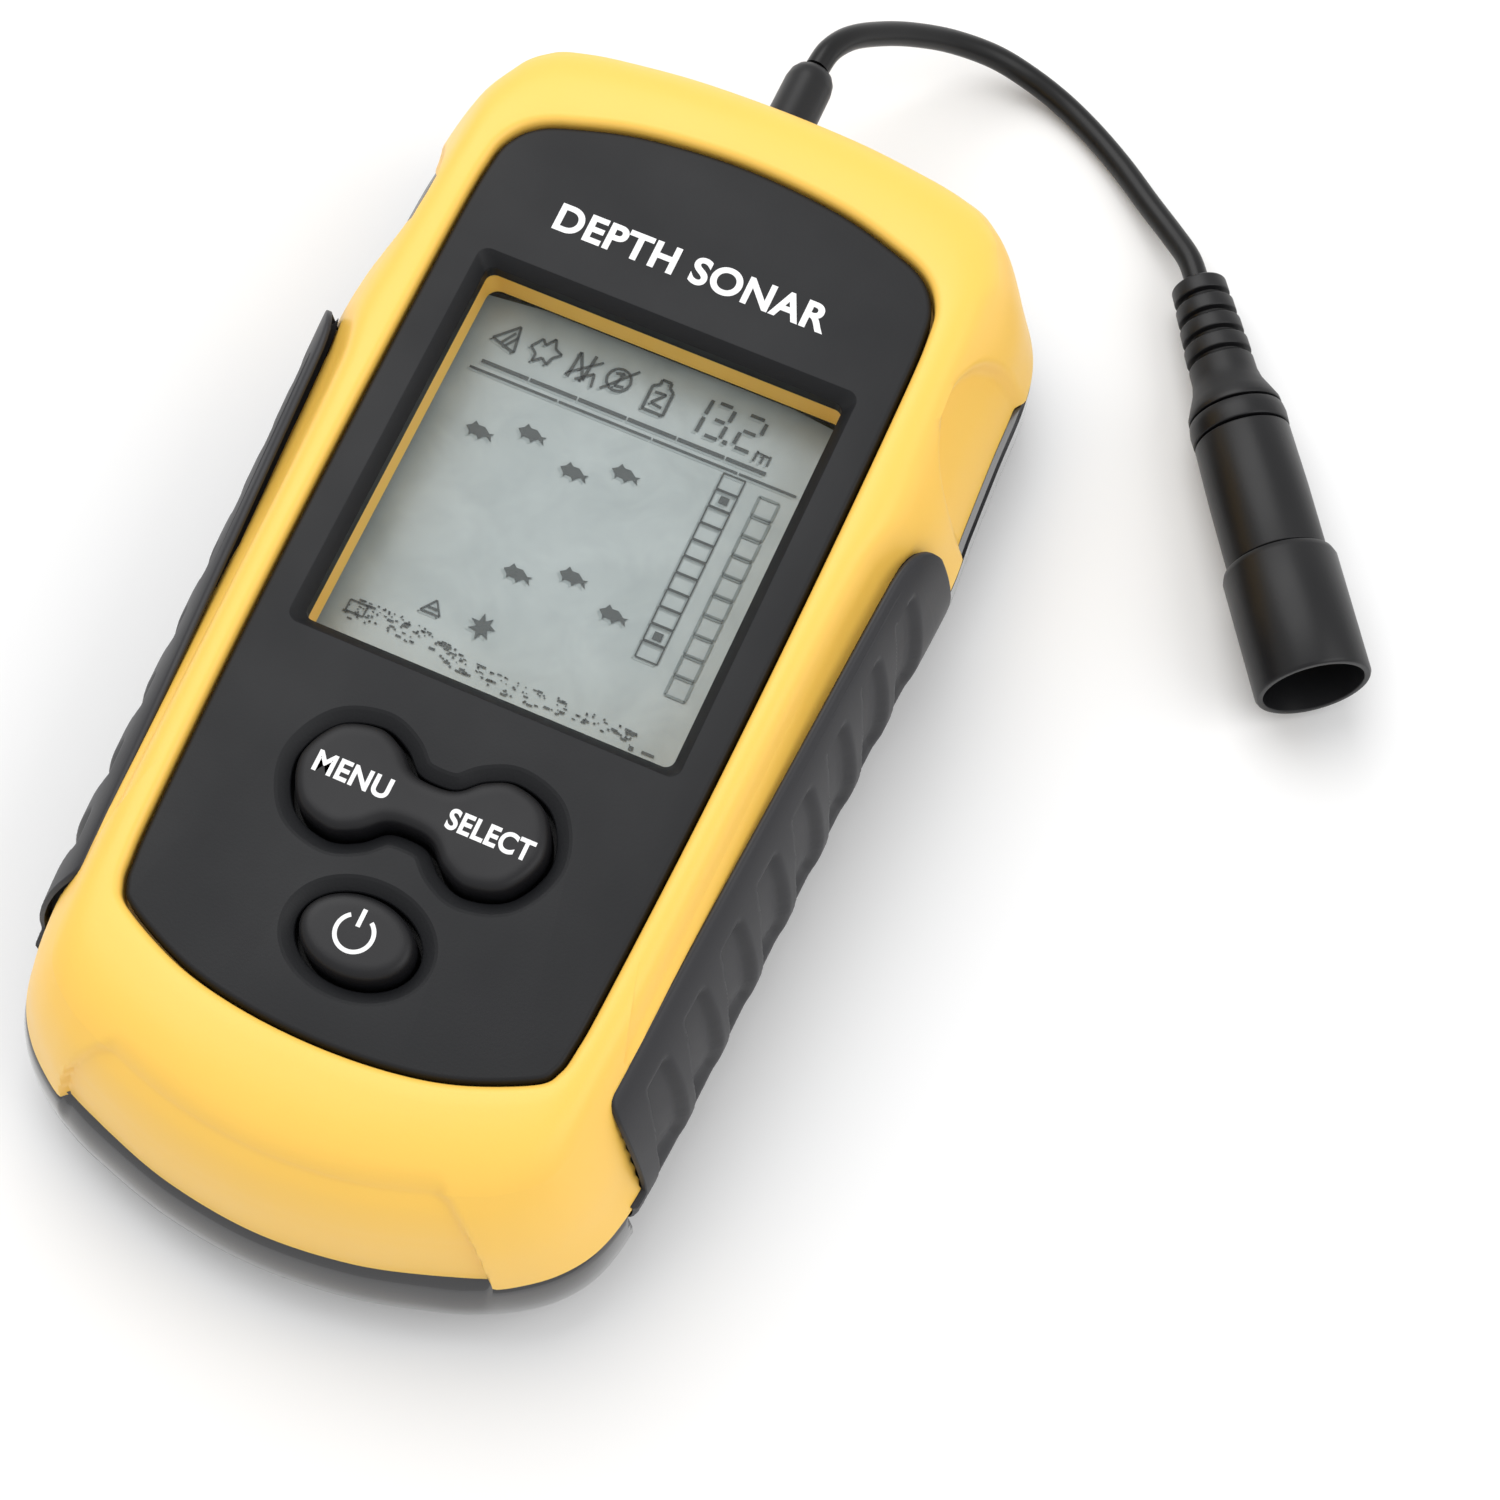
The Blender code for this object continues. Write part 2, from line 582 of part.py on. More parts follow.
# ---- batteries ----------------------------------------------------------------------
def make_batteries(shell, steel):
    profile = [(0.0, 0.0), (4.6, 0.0), (CELL_R, 0.5), (CELL_R, CELL_BODY - 0.6), (CELL_R - 0.6, CELL_BODY),
               (1.9, CELL_BODY), (1.9, CELL_BODY + CELL_NUB), (0.0, CELL_BODY + CELL_NUB)]
    nub_clear = 0.7
    for index in range(4):
        up = index % 2 == 0
        x = CELL_PITCH * (index - 1.5)
        cell = turned(profile, 24)
        turn = Matrix.Rotation(math.radians(-90 if up else 90), 4, "X")
        bmesh.ops.transform(cell, verts=cell.verts, matrix=turn)
        reach = CELL_BODY + CELL_NUB
        y = BAY_HIGH_Y - nub_clear - 0.3 - reach if up else BAY_LOW_Y + nub_clear + 0.3 + reach
        place("battery_%d" % (index + 1), cell, shell, (x, y, CELL_Z), smooth_angle=40)
        spring_from = y - GAP if up else y + GAP
        spring_to = BAY_LOW_Y + nub_clear + GAP if up else BAY_HIGH_Y - nub_clear - GAP
        turns, steps, wire = 2.5, 9, 0.45
        count = int(turns * steps) + 1
        points = []
        for step in range(count):
            share = step / (count - 1)
            angle = 2 * math.pi * turns * share
            radius = 2.2 + 1.6 * share
            start = spring_from + math.copysign(wire / 2, spring_to - spring_from)
            stop = spring_to - math.copysign(wire / 2, spring_to - spring_from)
            points.append((x + radius * math.cos(angle), start + (stop - start) * share,
                           CELL_Z + radius * math.sin(angle)))
        tube("battery_spring_%d" % (index + 1), points, wire, steel, 0)
    reach = BAY_HALF_W - 0.4
    z_low, z_high = CELL_Z - 4.6, CELL_Z + 4.6
    strips = {
        "contact_top_left": (-reach, -0.3, BAY_HIGH_Y - 0.7),
        "contact_top_right": (0.3, reach, BAY_HIGH_Y - 0.7),
        "contact_lower_left": (-reach, -CELL_PITCH - 0.3, BAY_LOW_Y + 0.3),
        "contact_lower_middle": (-CELL_PITCH + 0.3, CELL_PITCH - 0.3, BAY_LOW_Y + 0.3),
        "contact_lower_right": (CELL_PITCH + 0.3, reach, BAY_LOW_Y + 0.3),
    }
    for name, (x_low, x_high, y) in strips.items():
        place(name, block((x_low, y, z_low), (x_high, y + 0.4, z_high)), steel)


def make_door(black, foam):
    """A door that slides towards the lower end, held by a rail along each side."""
    low_edge = -57.9
    belly = 4.8
    half = DOOR_HALF_W

    def panel(width, z_low, z_high):
        ring = [Vector((-width, DOOR_HIGH_Y)), Vector((width, DOOR_HIGH_Y))]
        for step in range(9):
            x = half * (1 - step / 4)
            ring.append(Vector((math.copysign(width, x) if abs(x) == half else x,
                                low_edge - belly * (1 - (x / half) ** 2))))
        return loft([at_height(ring, z_low), at_height(ring, z_high)])

    origin = (0.0, DOOR_HIGH_Y, DOOR_BOTTOM)
    plate = panel(half, DOOR_BOTTOM, DOOR_TOP)
    bmesh.ops.translate(plate, verts=plate.verts, vec=-Vector(origin))
    door = place("battery_door", plate, black, origin)
    combine(door, [panel(half + RAIL_REACH, DOOR_STEP_Z, DOOR_TOP)], "UNION")
    pad = block((-18.0, -34.0, DOOR_TOP + GAP), (18.0, -26.0, DOOR_TOP + GAP + 0.6))
    bmesh.ops.translate(pad, verts=pad.verts, vec=-Vector(origin))
    place("door_foam", pad, foam, origin)


# ---- screws -------------------------------------------------------------------------
def make_screws(steel):
    case_profile = [(0.0, 0.9), (2.1, 0.9), (2.35, 1.3), (2.35, 2.6), (1.25, 2.6), (1.25, 20.6), (0.0, 21.8)]
    for index, (x, y) in enumerate(CASE_SCREWS):
        place("casing_screw_%d" % (index + 1), turned(case_profile, 14), steel, (x, y, 0.0), smooth_angle=40)
    head = BOARD_BOTTOM - GAP
    board_profile = [(0.0, head - 1.2), (1.9, head - 1.2), (1.9, head), (0.85, head), (0.85, 21.2), (0.0, 21.7)]
    for index, (x, y) in enumerate(BOARD_SCREWS):
        place("board_screw_%d" % (index + 1), turned(board_profile, 12), steel, (x, y, 0.0), smooth_angle=40)


# ---- cable side ---------------------------------------------------------------------
def make_relief(rubber):
    flange_y = HALF_LENGTH - 5.5
    profile = [(0.0, flange_y), (3.6, flange_y), (3.6, flange_y + 1.4), (RELIEF_NECK_R, flange_y + 1.4),
               (RELIEF_NECK_R, RELIEF_END_Y - 1.6), (2.5, RELIEF_END_Y - 0.6), (1.9, RELIEF_END_Y),
               (0.0, RELIEF_END_Y)]
    bm = turned(profile, 20)
    bmesh.ops.transform(bm, verts=bm.verts, matrix=Matrix.Rotation(math.radians(-90), 4, "X"))
    place("strain_relief", bm, rubber, (0.0, 0.0, RELIEF_Z), smooth_angle=40)
    inner = [(0.0, flange_y - GAP, RELIEF_Z), (0.0, 60.2, RELIEF_Z - 0.4), (0.0, 59.0, RELIEF_Z - 2.2),
             (0.0, 58.8, 15.4), (0.0, 58.0, 13.6), (0.0, 56.2, 12.8), (0.0, 53.3, 12.8)]
    path = even_points(spline_points(inner, False, 6), False, 16)
    tube("inner_leads", path, 1.6, rubber)


def make_cable(rubber):
    smooth = spline_points(CABLE_ROUTE, closed=False, steps=12)
    return tube("sonar_cable", even_points(smooth, False, 40), CABLE_D, rubber)


def make_connector(rubber, plastic, insert_plastic, gold):
    """Boot, ring, body, sleeve, insert and pins, turned about one axis on one empty."""
    axis = bpy.data.objects.new("connector_axis", None)
    bpy.context.scene.collection.objects.link(axis)
    axis.location = Vector(CONNECTOR_START) * MM
    heading = math.radians(CONNECTOR_TURN)
    tilt = math.radians(CONNECTOR_TILT)
    along = Vector((math.sin(heading) * math.cos(tilt), -math.cos(heading) * math.cos(tilt), math.sin(tilt)))
    axis.rotation_euler = along.to_track_quat("Z", "Y").to_euler()

    boot = [(0.0, 0.0), (2.7, 0.0), (3.1, 0.5)]
    for rib in range(4):
        radius = 3.15 + 0.2 * rib
        start = 2.6 * rib
        boot += [(radius, start + 2.0), (radius - 0.75, start + 2.05), (radius - 0.75, start + 2.6),
                 (radius + 0.15, start + 2.65)]
    boot += [(3.7, 12.2), (4.0, 13.6), (4.8, 15.4), (5.25, 16.6), (5.3, BOOT_LENGTH), (0.0, BOOT_LENGTH)]
    ring_start = BOOT_LENGTH + GAP
    ring = [(0.0, ring_start), (5.4, ring_start), (5.45, ring_start + 1.2), (5.4, ring_start + RING_LENGTH),
            (0.0, ring_start + RING_LENGTH)]
    body_start = ring_start + RING_LENGTH + GAP
    spigot_r = SLEEVE_BORE_R - GAP
    body = [(0.0, body_start), (5.4, body_start), (5.5, BODY_END), (spigot_r, BODY_END),
            (spigot_r, BODY_END + 3.6), (0.0, BODY_END + 3.6)]
    sleeve = [(SLEEVE_BORE_R, BODY_END + GAP), (SLEEVE_R - 0.3, BODY_END + GAP),
              (SLEEVE_R, BODY_END + GAP + 0.4), (SLEEVE_R, SLEEVE_END - 0.3), (SLEEVE_R - 0.3, SLEEVE_END),
              (SLEEVE_BORE_R, SLEEVE_END)]
    insert_start = BODY_END + 3.6 + GAP
    insert = [(0.0, insert_start), (spigot_r, insert_start), (spigot_r, insert_start + 2.4),
              (0.0, insert_start + 2.4)]
    place("connector_boot", turned(boot, 20), rubber, parent=axis, smooth_angle=35)
    place("connector_ring", turned(ring, 24), plastic, parent=axis, smooth_angle=35)
    place("connector_body", turned(body, 24), plastic, parent=axis, smooth_angle=35)
    place("connector_sleeve", turned(sleeve, 24), plastic, parent=axis, smooth_angle=35)
    place("connector_insert", turned(insert, 24), insert_plastic, parent=axis, smooth_angle=35)
    pin_start = insert_start + 2.4 + GAP
    for index in range(3):
        angle = 2 * math.pi * index / 3
        pin = turned([(0.0, 0.0), (0.55, 0.0), (0.55, 1.6), (0.0, 2.1)], 8)
        place("contact_pin_%d" % (index + 1), pin, gold,
              (2.2 * math.cos(angle), 2.2 * math.sin(angle), pin_start), axis, 40)


# ---- the whole object ---------------------------------------------------------------
clear_scene()
CASE_RING = outline(CASE_HALF)
YELLOW = finish("yellow_abs", (0.97, 0.62, 0.13), 0.38)
BLACK = finish("black_abs", (0.045, 0.046, 0.05), 0.5)
RUBBER = finish("black_rubber", (0.05, 0.05, 0.053), 0.65)
GREY_SEAL = finish("grey_silicone", (0.25, 0.25, 0.26), 0.6)
CLEAR = finish("clear_acrylic", (0.8, 0.85, 0.85), 0.05)
LCD = finish("lcd_glass", (0.33, 0.36, 0.36), 0.2)
DIFFUSER = finish("white_diffuser", (0.85, 0.85, 0.82), 0.4)
BOARD = finish("green_laminate", (0.03, 0.2, 0.08), 0.4)
STEEL = finish("plated_steel", (0.6, 0.6, 0.58), 0.3, 1.0)
GOLD = finish("gold_contact", (0.85, 0.6, 0.25), 0.3, 1.0)
CELL_SHELL = finish("cell_jacket", (0.1, 0.1, 0.11), 0.35)
FOAM = finish("grey_foam", (0.2, 0.2, 0.2), 0.9)

make_front_casing(YELLOW)
make_back_casing(BLACK)
make_gasket(GREY_SEAL)
make_faceplate(BLACK)
make_key("rocker_key", rocker_outline(), [(-LOBE_X, ROCKER_Y), (LOBE_X, ROCKER_Y)],
         (0.0, ROCKER_Y, ROCKER_PIVOT_Z), RUBBER)
make_key("power_key", ellipse(POWER_HALF_W, POWER_HALF_H, (0.0, POWER_Y)), [(0.0, POWER_Y)],
         (0.0, POWER_Y, KEY_TOP), RUBBER)
make_membrane(GREY_SEAL)
make_grip("grip_left", -1, RUBBER)
make_grip("grip_right", 1, RUBBER)
make_display(CLEAR, LCD, DIFFUSER, BLACK)
make_board(BOARD, BLACK, GOLD, BLACK)
make_batteries(CELL_SHELL, STEEL)
make_door(BLACK, FOAM)
make_screws(STEEL)
make_relief(RUBBER)
make_cable(RUBBER)
make_connector(RUBBER, BLACK, GREY_SEAL, GOLD)
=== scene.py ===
# %% [markdown]
# # A handheld fish finder
# The object is a sonar display that lies in the hand: a yellow ABS front casing over a black
# back casing, a black face plate with a sunk window, rubber keys and grips, and a short lead
# that ends in a socket for the sonar sensor. The imported CAD model gives every place and size.
# It is loaded first, and several pieces below take their sizes from it.

# %% The frame and the tools
import json
import math
import random

import bmesh
import bpy
from mathutils import Matrix, Vector

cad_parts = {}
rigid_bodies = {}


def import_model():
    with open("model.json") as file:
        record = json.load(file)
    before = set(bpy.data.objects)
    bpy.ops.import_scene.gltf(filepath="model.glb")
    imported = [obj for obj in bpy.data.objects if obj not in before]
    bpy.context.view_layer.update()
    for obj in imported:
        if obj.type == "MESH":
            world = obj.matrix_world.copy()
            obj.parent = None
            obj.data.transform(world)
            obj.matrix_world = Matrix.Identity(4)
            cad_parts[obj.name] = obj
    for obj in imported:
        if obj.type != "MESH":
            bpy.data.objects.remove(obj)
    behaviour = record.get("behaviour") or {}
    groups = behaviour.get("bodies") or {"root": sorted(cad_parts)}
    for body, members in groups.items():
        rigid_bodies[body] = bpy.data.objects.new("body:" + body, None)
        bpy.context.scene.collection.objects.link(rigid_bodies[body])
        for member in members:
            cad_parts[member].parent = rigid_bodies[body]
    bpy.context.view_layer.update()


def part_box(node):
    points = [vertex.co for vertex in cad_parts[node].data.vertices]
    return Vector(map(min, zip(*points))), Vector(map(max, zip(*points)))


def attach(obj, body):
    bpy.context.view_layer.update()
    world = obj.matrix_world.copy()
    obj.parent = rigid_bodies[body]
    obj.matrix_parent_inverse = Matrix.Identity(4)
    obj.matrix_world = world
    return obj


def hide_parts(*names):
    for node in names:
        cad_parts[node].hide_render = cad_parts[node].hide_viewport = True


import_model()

MM = 0.001
scene = bpy.context.scene
for stray in [one for one in bpy.data.objects if one.name in ("Cube", "Light", "Camera")]:
    bpy.data.objects.remove(stray, do_unlink=True)

# %% [markdown]
# ## The camera
# The camera comes first, because the room that a cord may take depends on what is in view.
# It looks down at the device from above its lower right corner, with a lens of about 80 mm.

# %% Camera
camera_data = bpy.data.cameras.new("camera")
camera_data.lens = 78.65
camera_data.sensor_width = 36.0
camera_data.clip_start = 0.01
camera = bpy.data.objects.new("camera", camera_data)
camera.location = (0.072134, -0.105807, 0.336147)
looks_at = Vector((0.026869, -0.003246, 0.0279))
camera.rotation_euler = (looks_at - camera.location).to_track_quat("-Z", "Y").to_euler()
scene.collection.objects.link(camera)
scene.camera = camera
print("camera is %.0f mm from the device" % ((looks_at - camera.location).length / MM))

# %% [markdown]
# ## Small helpers for materials
# Colours are written as the hex values that a paint chart gives. Blender works in linear
# light, so one function converts them. One more function adds a node with its settings and
# its links, which keeps each material short enough to read.

# %% Colour and node helpers
def linear(code):
    """An sRGB hex value as linear red, green, blue and alpha."""
    found = []
    for start in (0, 2, 4):
        share = int(code[start:start + 2], 16) / 255
        found.append(share / 12.92 if share <= 0.04045 else ((share + 0.055) / 1.055) ** 2.4)
    return (*found, 1.0)


def add(tree, kind, settings=None, links=None):
    """Add one node, set its plain values and link its inputs."""
    made = tree.nodes.new(kind)
    for key, value in (settings or {}).items():
        if isinstance(key, int) or key in made.inputs:
            made.inputs[key].default_value = value
        else:
            setattr(made, key, value)
    for key, source in (links or {}).items():
        tree.links.new(source, made.inputs[key])
    return made


def blank(name):
    """A new material, its empty tree, the socket for its surface and the object's coordinates."""
    made = bpy.data.materials.new(name)
    made.use_nodes = True
    tree = made.node_tree
    tree.nodes.clear()
    surface_socket = add(tree, "ShaderNodeOutputMaterial").inputs["Surface"]
    return made, tree, surface_socket, add(tree, "ShaderNodeTexCoord").outputs["Object"]


def scale_for(size_mm):
    """The texture scale that gives a pattern of this size in millimetres."""
    return 1.0 / (size_mm * MM)


print("linear value of mid grey:", round(linear("808080")[0], 3))

# %% [markdown]
# ## Moulded plastic and rubber
# Most of this object is injection moulded. The tool is spark eroded, so the part comes out
# with a fine even grain, and slow changes in gloss where the melt cooled faster. Both are
# noise: a fine one in the bump, with its scale worked out from the grain in millimetres, and
# a slow one that moves the roughness and the tone a little.

# %% A builder for moulded surfaces
SLOW_PATCH_MM = 14.0


def moulded(name, colour, roughness, grain_mm, depth_mm, spread=0.05, tone=0.06, **extra):
    made, tree, output, place = blank(name)
    grain = add(tree, "ShaderNodeTexNoise", {"Scale": scale_for(grain_mm), "Detail": 2.0, "Roughness": 0.55},
                {"Vector": place})
    slow = add(tree, "ShaderNodeTexNoise", {"Scale": scale_for(SLOW_PATCH_MM), "Detail": 3.0},
               {"Vector": place})
    shine = add(tree, "ShaderNodeMapRange",
                {"From Min": 0.3, "From Max": 0.7, "To Min": roughness - spread, "To Max": roughness + spread},
                {"Value": slow.outputs["Fac"]})
    base = linear(colour)
    darker = tuple(channel * (1.0 - tone) for channel in base[:3]) + (1.0,)
    lighter = tuple(min(channel * (1.0 + tone), 1.0) for channel in base[:3]) + (1.0,)
    tint = add(tree, "ShaderNodeMix", {"data_type": "RGBA", 6: darker, 7: lighter},
               {0: slow.outputs["Fac"]})
    relief = add(tree, "ShaderNodeBump", {"Strength": 0.6, "Distance": depth_mm * MM},
                 {"Height": grain.outputs["Fac"]})
    surface = add(tree, "ShaderNodeBsdfPrincipled", {"IOR": 1.5, **extra},
                  {"Base Color": tint.outputs[2], "Roughness": shine.outputs[0],
                   "Normal": relief.outputs["Normal"]})
    tree.links.new(surface.outputs["BSDF"], output)
    return made


# Yellow ABS, injection moulded in a spark-eroded tool: satin, with a grain only just visible.
YELLOW_ABS = moulded("yellow_abs_moulded", "FCCA5A", 0.4, 0.35, 0.012, tone=0.015,
                     **{"Subsurface Weight": 0.06, "Subsurface Scale": 0.002,
                        "Subsurface Radius": (1.0, 0.6, 0.2)})
# Black ABS face plate with a deeper grain: matt and slightly grey, because the grain scatters.
PLATE_ABS = moulded("black_abs_textured", "141518", 0.5, 0.3, 0.02, **{"Specular IOR Level": 0.3})
# The back casing comes from a polished tool, so it mirrors the table softly.
BACK_ABS = moulded("black_abs_polished", "1C1C1F", 0.2, 0.8, 0.003, spread=0.03,
                   **{"Coat Weight": 1.0, "Coat Roughness": 0.12, "Coat IOR": 1.6})
# Silicone keys are smoother than the plate, with a dull sheen.
KEY_SILICONE = moulded("silicone_moulded", "131316", 0.46, 0.25, 0.008, **{"Specular IOR Level": 0.35})
# Thermoplastic elastomer over-moulded on the sides: matt, a little lighter from its bloom.
GRIP_ELASTOMER = moulded("elastomer_overmoulded", "212125", 0.5, 0.3, 0.015, IOR=1.48)
# The lead's jacket and boots are PVC, extruded and moulded: satin, nearly smooth.
PVC_JACKET = moulded("pvc_extruded", "0D0D0E", 0.36, 0.5, 0.006, **{"Specular IOR Level": 0.35})
PVC_BOOT = moulded("pvc_moulded", "111113", 0.42, 0.4, 0.01, **{"Specular IOR Level": 0.4})
# Nylon connector shells are satin with a slight grain.
CONNECTOR_NYLON = moulded("nylon_moulded", "141416", 0.4, 0.4, 0.01, **{"Specular IOR Level": 0.35})
# The seal in the seam is soft silicone, matt and dusty grey.
GREY_SILICONE = moulded("grey_silicone", "4A4A4D", 0.6, 0.3, 0.01)
print("moulded finishes:", len(bpy.data.materials))

# %% [markdown]
# ## Window, display and printing
# The window is a thin pane of clear acrylic with a hard coat. A pane this thin hardly bends
# the light, so a low alpha stands for it and the display behind stays lit and sharp. The
# display is a grey-green sandwich of glass and polariser, a little cloudy. Its segments are
# dark, and each one drops a faint shadow on the reflector behind it. The legends are screen
# printed in white ink.

# %% Optical finishes and inks
def clear_acrylic():
    """A thin hard-coated pane: nearly all of the light passes it, and a little haze stays."""
    made, tree, output, place = blank("acrylic_hard_coated")
    smear = add(tree, "ShaderNodeTexNoise", {"Scale": scale_for(6.0), "Detail": 4.0}, {"Vector": place})
    shine = add(tree, "ShaderNodeMapRange", {"To Min": 0.04, "To Max": 0.2}, {"Value": smear.outputs["Fac"]})
    pane = add(tree, "ShaderNodeBsdfPrincipled",
               {"Base Color": linear("DDE3E4"), "IOR": 1.49, "Alpha": 0.035}, {"Roughness": shine.outputs[0]})
    tree.links.new(pane.outputs["BSDF"], output)
    return made


def cloudy(name, dark, light, roughness, patch_mm):
    """A smooth surface whose colour drifts between two tones."""
    made, tree, output, place = blank(name)
    drift = add(tree, "ShaderNodeTexNoise",
                {"Scale": scale_for(patch_mm), "Detail": 4.0, "Roughness": 0.6, "Distortion": 0.6},
                {"Vector": place})
    ramp = add(tree, "ShaderNodeMapRange", {"From Min": 0.3, "From Max": 0.7}, {"Value": drift.outputs["Fac"]})
    tint = add(tree, "ShaderNodeMix", {"data_type": "RGBA", 6: linear(dark), 7: linear(light)},
               {0: ramp.outputs[0]})
    surface = add(tree, "ShaderNodeBsdfPrincipled", {"Roughness": roughness, "IOR": 1.5},
                  {"Base Color": tint.outputs[2]})
    tree.links.new(surface.outputs["BSDF"], output)
    return made


ACRYLIC = clear_acrylic()
# Liquid crystal glass over a grey-green reflector, cloudy where the light guide is uneven.
LCD_GLASS = cloudy("lcd_glass_reflective", "8A9595", "9BA5A5", 0.35, 7.0)
# Dark segments, a lighter tone for the faint second column of cells, and the shadows under the dark ones.
LCD_INK = cloudy("lcd_segment", "1B2626", "232F2F", 0.5, 2.0)
LCD_FAINT = cloudy("lcd_segment_faint", "566363", "6E7A7A", 0.5, 3.0)
LCD_SHADE = cloudy("lcd_segment_shadow", "7F8A8A", "8A9595", 0.5, 2.0)
# Screen-printed ink lies on the grain, so it is matt and not quite even.
WHITE_INK = cloudy("white_screen_ink", "E6E6E6", "FBFBFB", 0.6, 0.4)
print("finishes so far:", len(bpy.data.materials))

# %% [markdown]
# ## The lead
# The lead is one short piece of PVC cable. It leaves the casing through a strain relief,
# falls to the table in a loose arc, and ends in the sensor socket. It is a curve with a
# round bevel, laid through the same points as the solid in the CAD model.

# %% Curves through a few points
def through(points, closed, steps=10):
    """A Catmull-Rom curve through the points."""
    count = len(points)
    found = []
    for run in range(count if closed else count - 1):
        four = []
        for offset in (-1, 0, 1, 2):
            index = (run + offset) % count if closed else min(max(run + offset, 0), count - 1)
            four.append(Vector(points[index]))
        before, start, end, after = four
        for step in range(steps):
            t = step / steps
            found.append(0.5 * (2 * start + (end - before) * t
                                + (2 * before - 5 * start + 4 * end - after) * t * t
                                + (3 * start - before - 3 * end + after) * t ** 3))
    if not closed:
        found.append(Vector(points[-1]))
    return found


def evenly(points, closed, count):
    """The same line with its points spaced evenly."""
    line = points + [points[0]] if closed else points
    run = [0.0]
    for one, two in zip(line, line[1:]):
        run.append(run[-1] + (two - one).length)
    found = []
    leg = 0
    for index in range(count):
        target = run[-1] * index / (count if closed else count - 1)
        while leg < len(line) - 2 and run[leg + 1] < target:
            leg += 1
        share = (target - run[leg]) / max(run[leg + 1] - run[leg], 1e-9)
        found.append(line[leg].lerp(line[leg + 1], min(share, 1.0)))
    return found


CABLE_ROUTE = [
    (0.0, 0.076, 0.020), (0.0003, 0.079, 0.0196), (0.0015, 0.0823, 0.0181),
    (0.0037, 0.0858, 0.0153), (0.0065, 0.0892, 0.0120), (0.0102, 0.0924, 0.0083),
    (0.0148, 0.0945, 0.0050), (0.0192, 0.0948, 0.0029), (0.0239, 0.0938, 0.0018),
    (0.0286, 0.0917, 0.0015), (0.0334, 0.0888, 0.0016), (0.0380, 0.0853, 0.0022),
    (0.0421, 0.0821, 0.0031), (0.0451, 0.0795, 0.0039), (0.04698, 0.07705, 0.00418),
]
CABLE_DIAMETER = 0.0028
route = evenly(through(CABLE_ROUTE, False, 12), False, 110)

# %% The cable
cable_curve = bpy.data.curves.new("lead_cable", "CURVE")
cable_curve.dimensions = "3D"
cable_curve.bevel_depth = CABLE_DIAMETER / 2
cable_curve.bevel_resolution = 8
cable_curve.use_fill_caps = True
run = cable_curve.splines.new("POLY")
run.points.add(len(route) - 1)
for item, point in zip(run.points, route):
    item.co = (*point, 1.0)
run.use_smooth = True
cable_curve.materials.append(PVC_JACKET)
lead_cable = bpy.data.objects.new("lead_cable", cable_curve)
scene.collection.objects.link(lead_cable)
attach(lead_cable, "case")
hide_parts("sonar_cable")

# %% [markdown]
# ## Turned pieces
# Strain relief, boot, rings and sleeve are all round, so each is a profile spun about an
# axis. Moulded edges are never knife sharp: every edge that turns more than 30 degrees is
# given a small bevel before the piece is put in place.

# %% Making pieces
def piece(name, bm, finish, body, replaces=(), sharp=50):
    """Turn a bmesh in millimetres into a finished piece in metres, at the origin."""
    bmesh.ops.scale(bm, vec=(MM, MM, MM), verts=bm.verts)
    for face in bm.faces:
        face.smooth = True
    for edge in bm.edges:
        if len(edge.link_faces) == 2 and edge.calc_face_angle() > math.radians(sharp):
            edge.smooth = False
    mesh = bpy.data.meshes.new(name)
    bm.to_mesh(mesh)
    bm.free()
    mesh.materials.append(finish)
    made = bpy.data.objects.new(name, mesh)
    scene.collection.objects.link(made)
    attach(made, body)
    if replaces:
        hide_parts(*replaces)
    size = made.dimensions / MM
    print("%s: %d faces, %.1f x %.1f x %.1f mm" % (name, len(mesh.polygons), *size))
    return made


def soften(bm, width, turn=30):
    """Bevel the edges that turn by more than an angle in degrees."""
    edges = [edge for edge in bm.edges if len(edge.link_faces) == 2
             and edge.calc_face_angle() > math.radians(turn)]
    bmesh.ops.bevel(bm, geom=edges, offset=width, offset_type="OFFSET", segments=3,
                    profile=0.5, affect="EDGES", clamp_overlap=True, material=-1)


def spun(profile, sides=96, closed=False):
    """Spin points of radius and height about Z. A closed profile doesn't touch the axis."""
    bm = bmesh.new()
    verts = [bm.verts.new((radius, 0.0, height)) for radius, height in profile]
    edges = [bm.edges.new(pair) for pair in zip(verts, verts[1:])]
    if closed:
        edges.append(bm.edges.new((verts[-1], verts[0])))
    bmesh.ops.spin(bm, geom=verts + edges, cent=(0, 0, 0), axis=(0, 0, 1),
                   angle=2 * math.pi, steps=sides, use_merge=True)
    bmesh.ops.remove_doubles(bm, verts=bm.verts, dist=1e-4)
    bmesh.ops.recalc_face_normals(bm, faces=bm.faces)
    return bm


# %% Strain relief
relief_low, relief_high = (corner.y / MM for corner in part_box("strain_relief"))
LEAD_HEIGHT = 20.0
relief = spun([(0.0, relief_low), (3.6, relief_low), (3.6, relief_low + 1.4), (2.85, relief_low + 1.4),
               (2.75, relief_high - 2.2), (2.55, relief_high - 1.1), (2.1, relief_high - 0.35),
               (1.6, relief_high), (0.0, relief_high)], 64)
soften(relief, 0.15)
lie_down = Matrix.Translation((0.0, 0.0, LEAD_HEIGHT)) @ Matrix.Rotation(math.radians(-90), 4, "X")
bmesh.ops.transform(relief, matrix=lie_down, verts=relief.verts)
piece("strain_relief_boot", relief, PVC_BOOT, "case", ["strain_relief"])

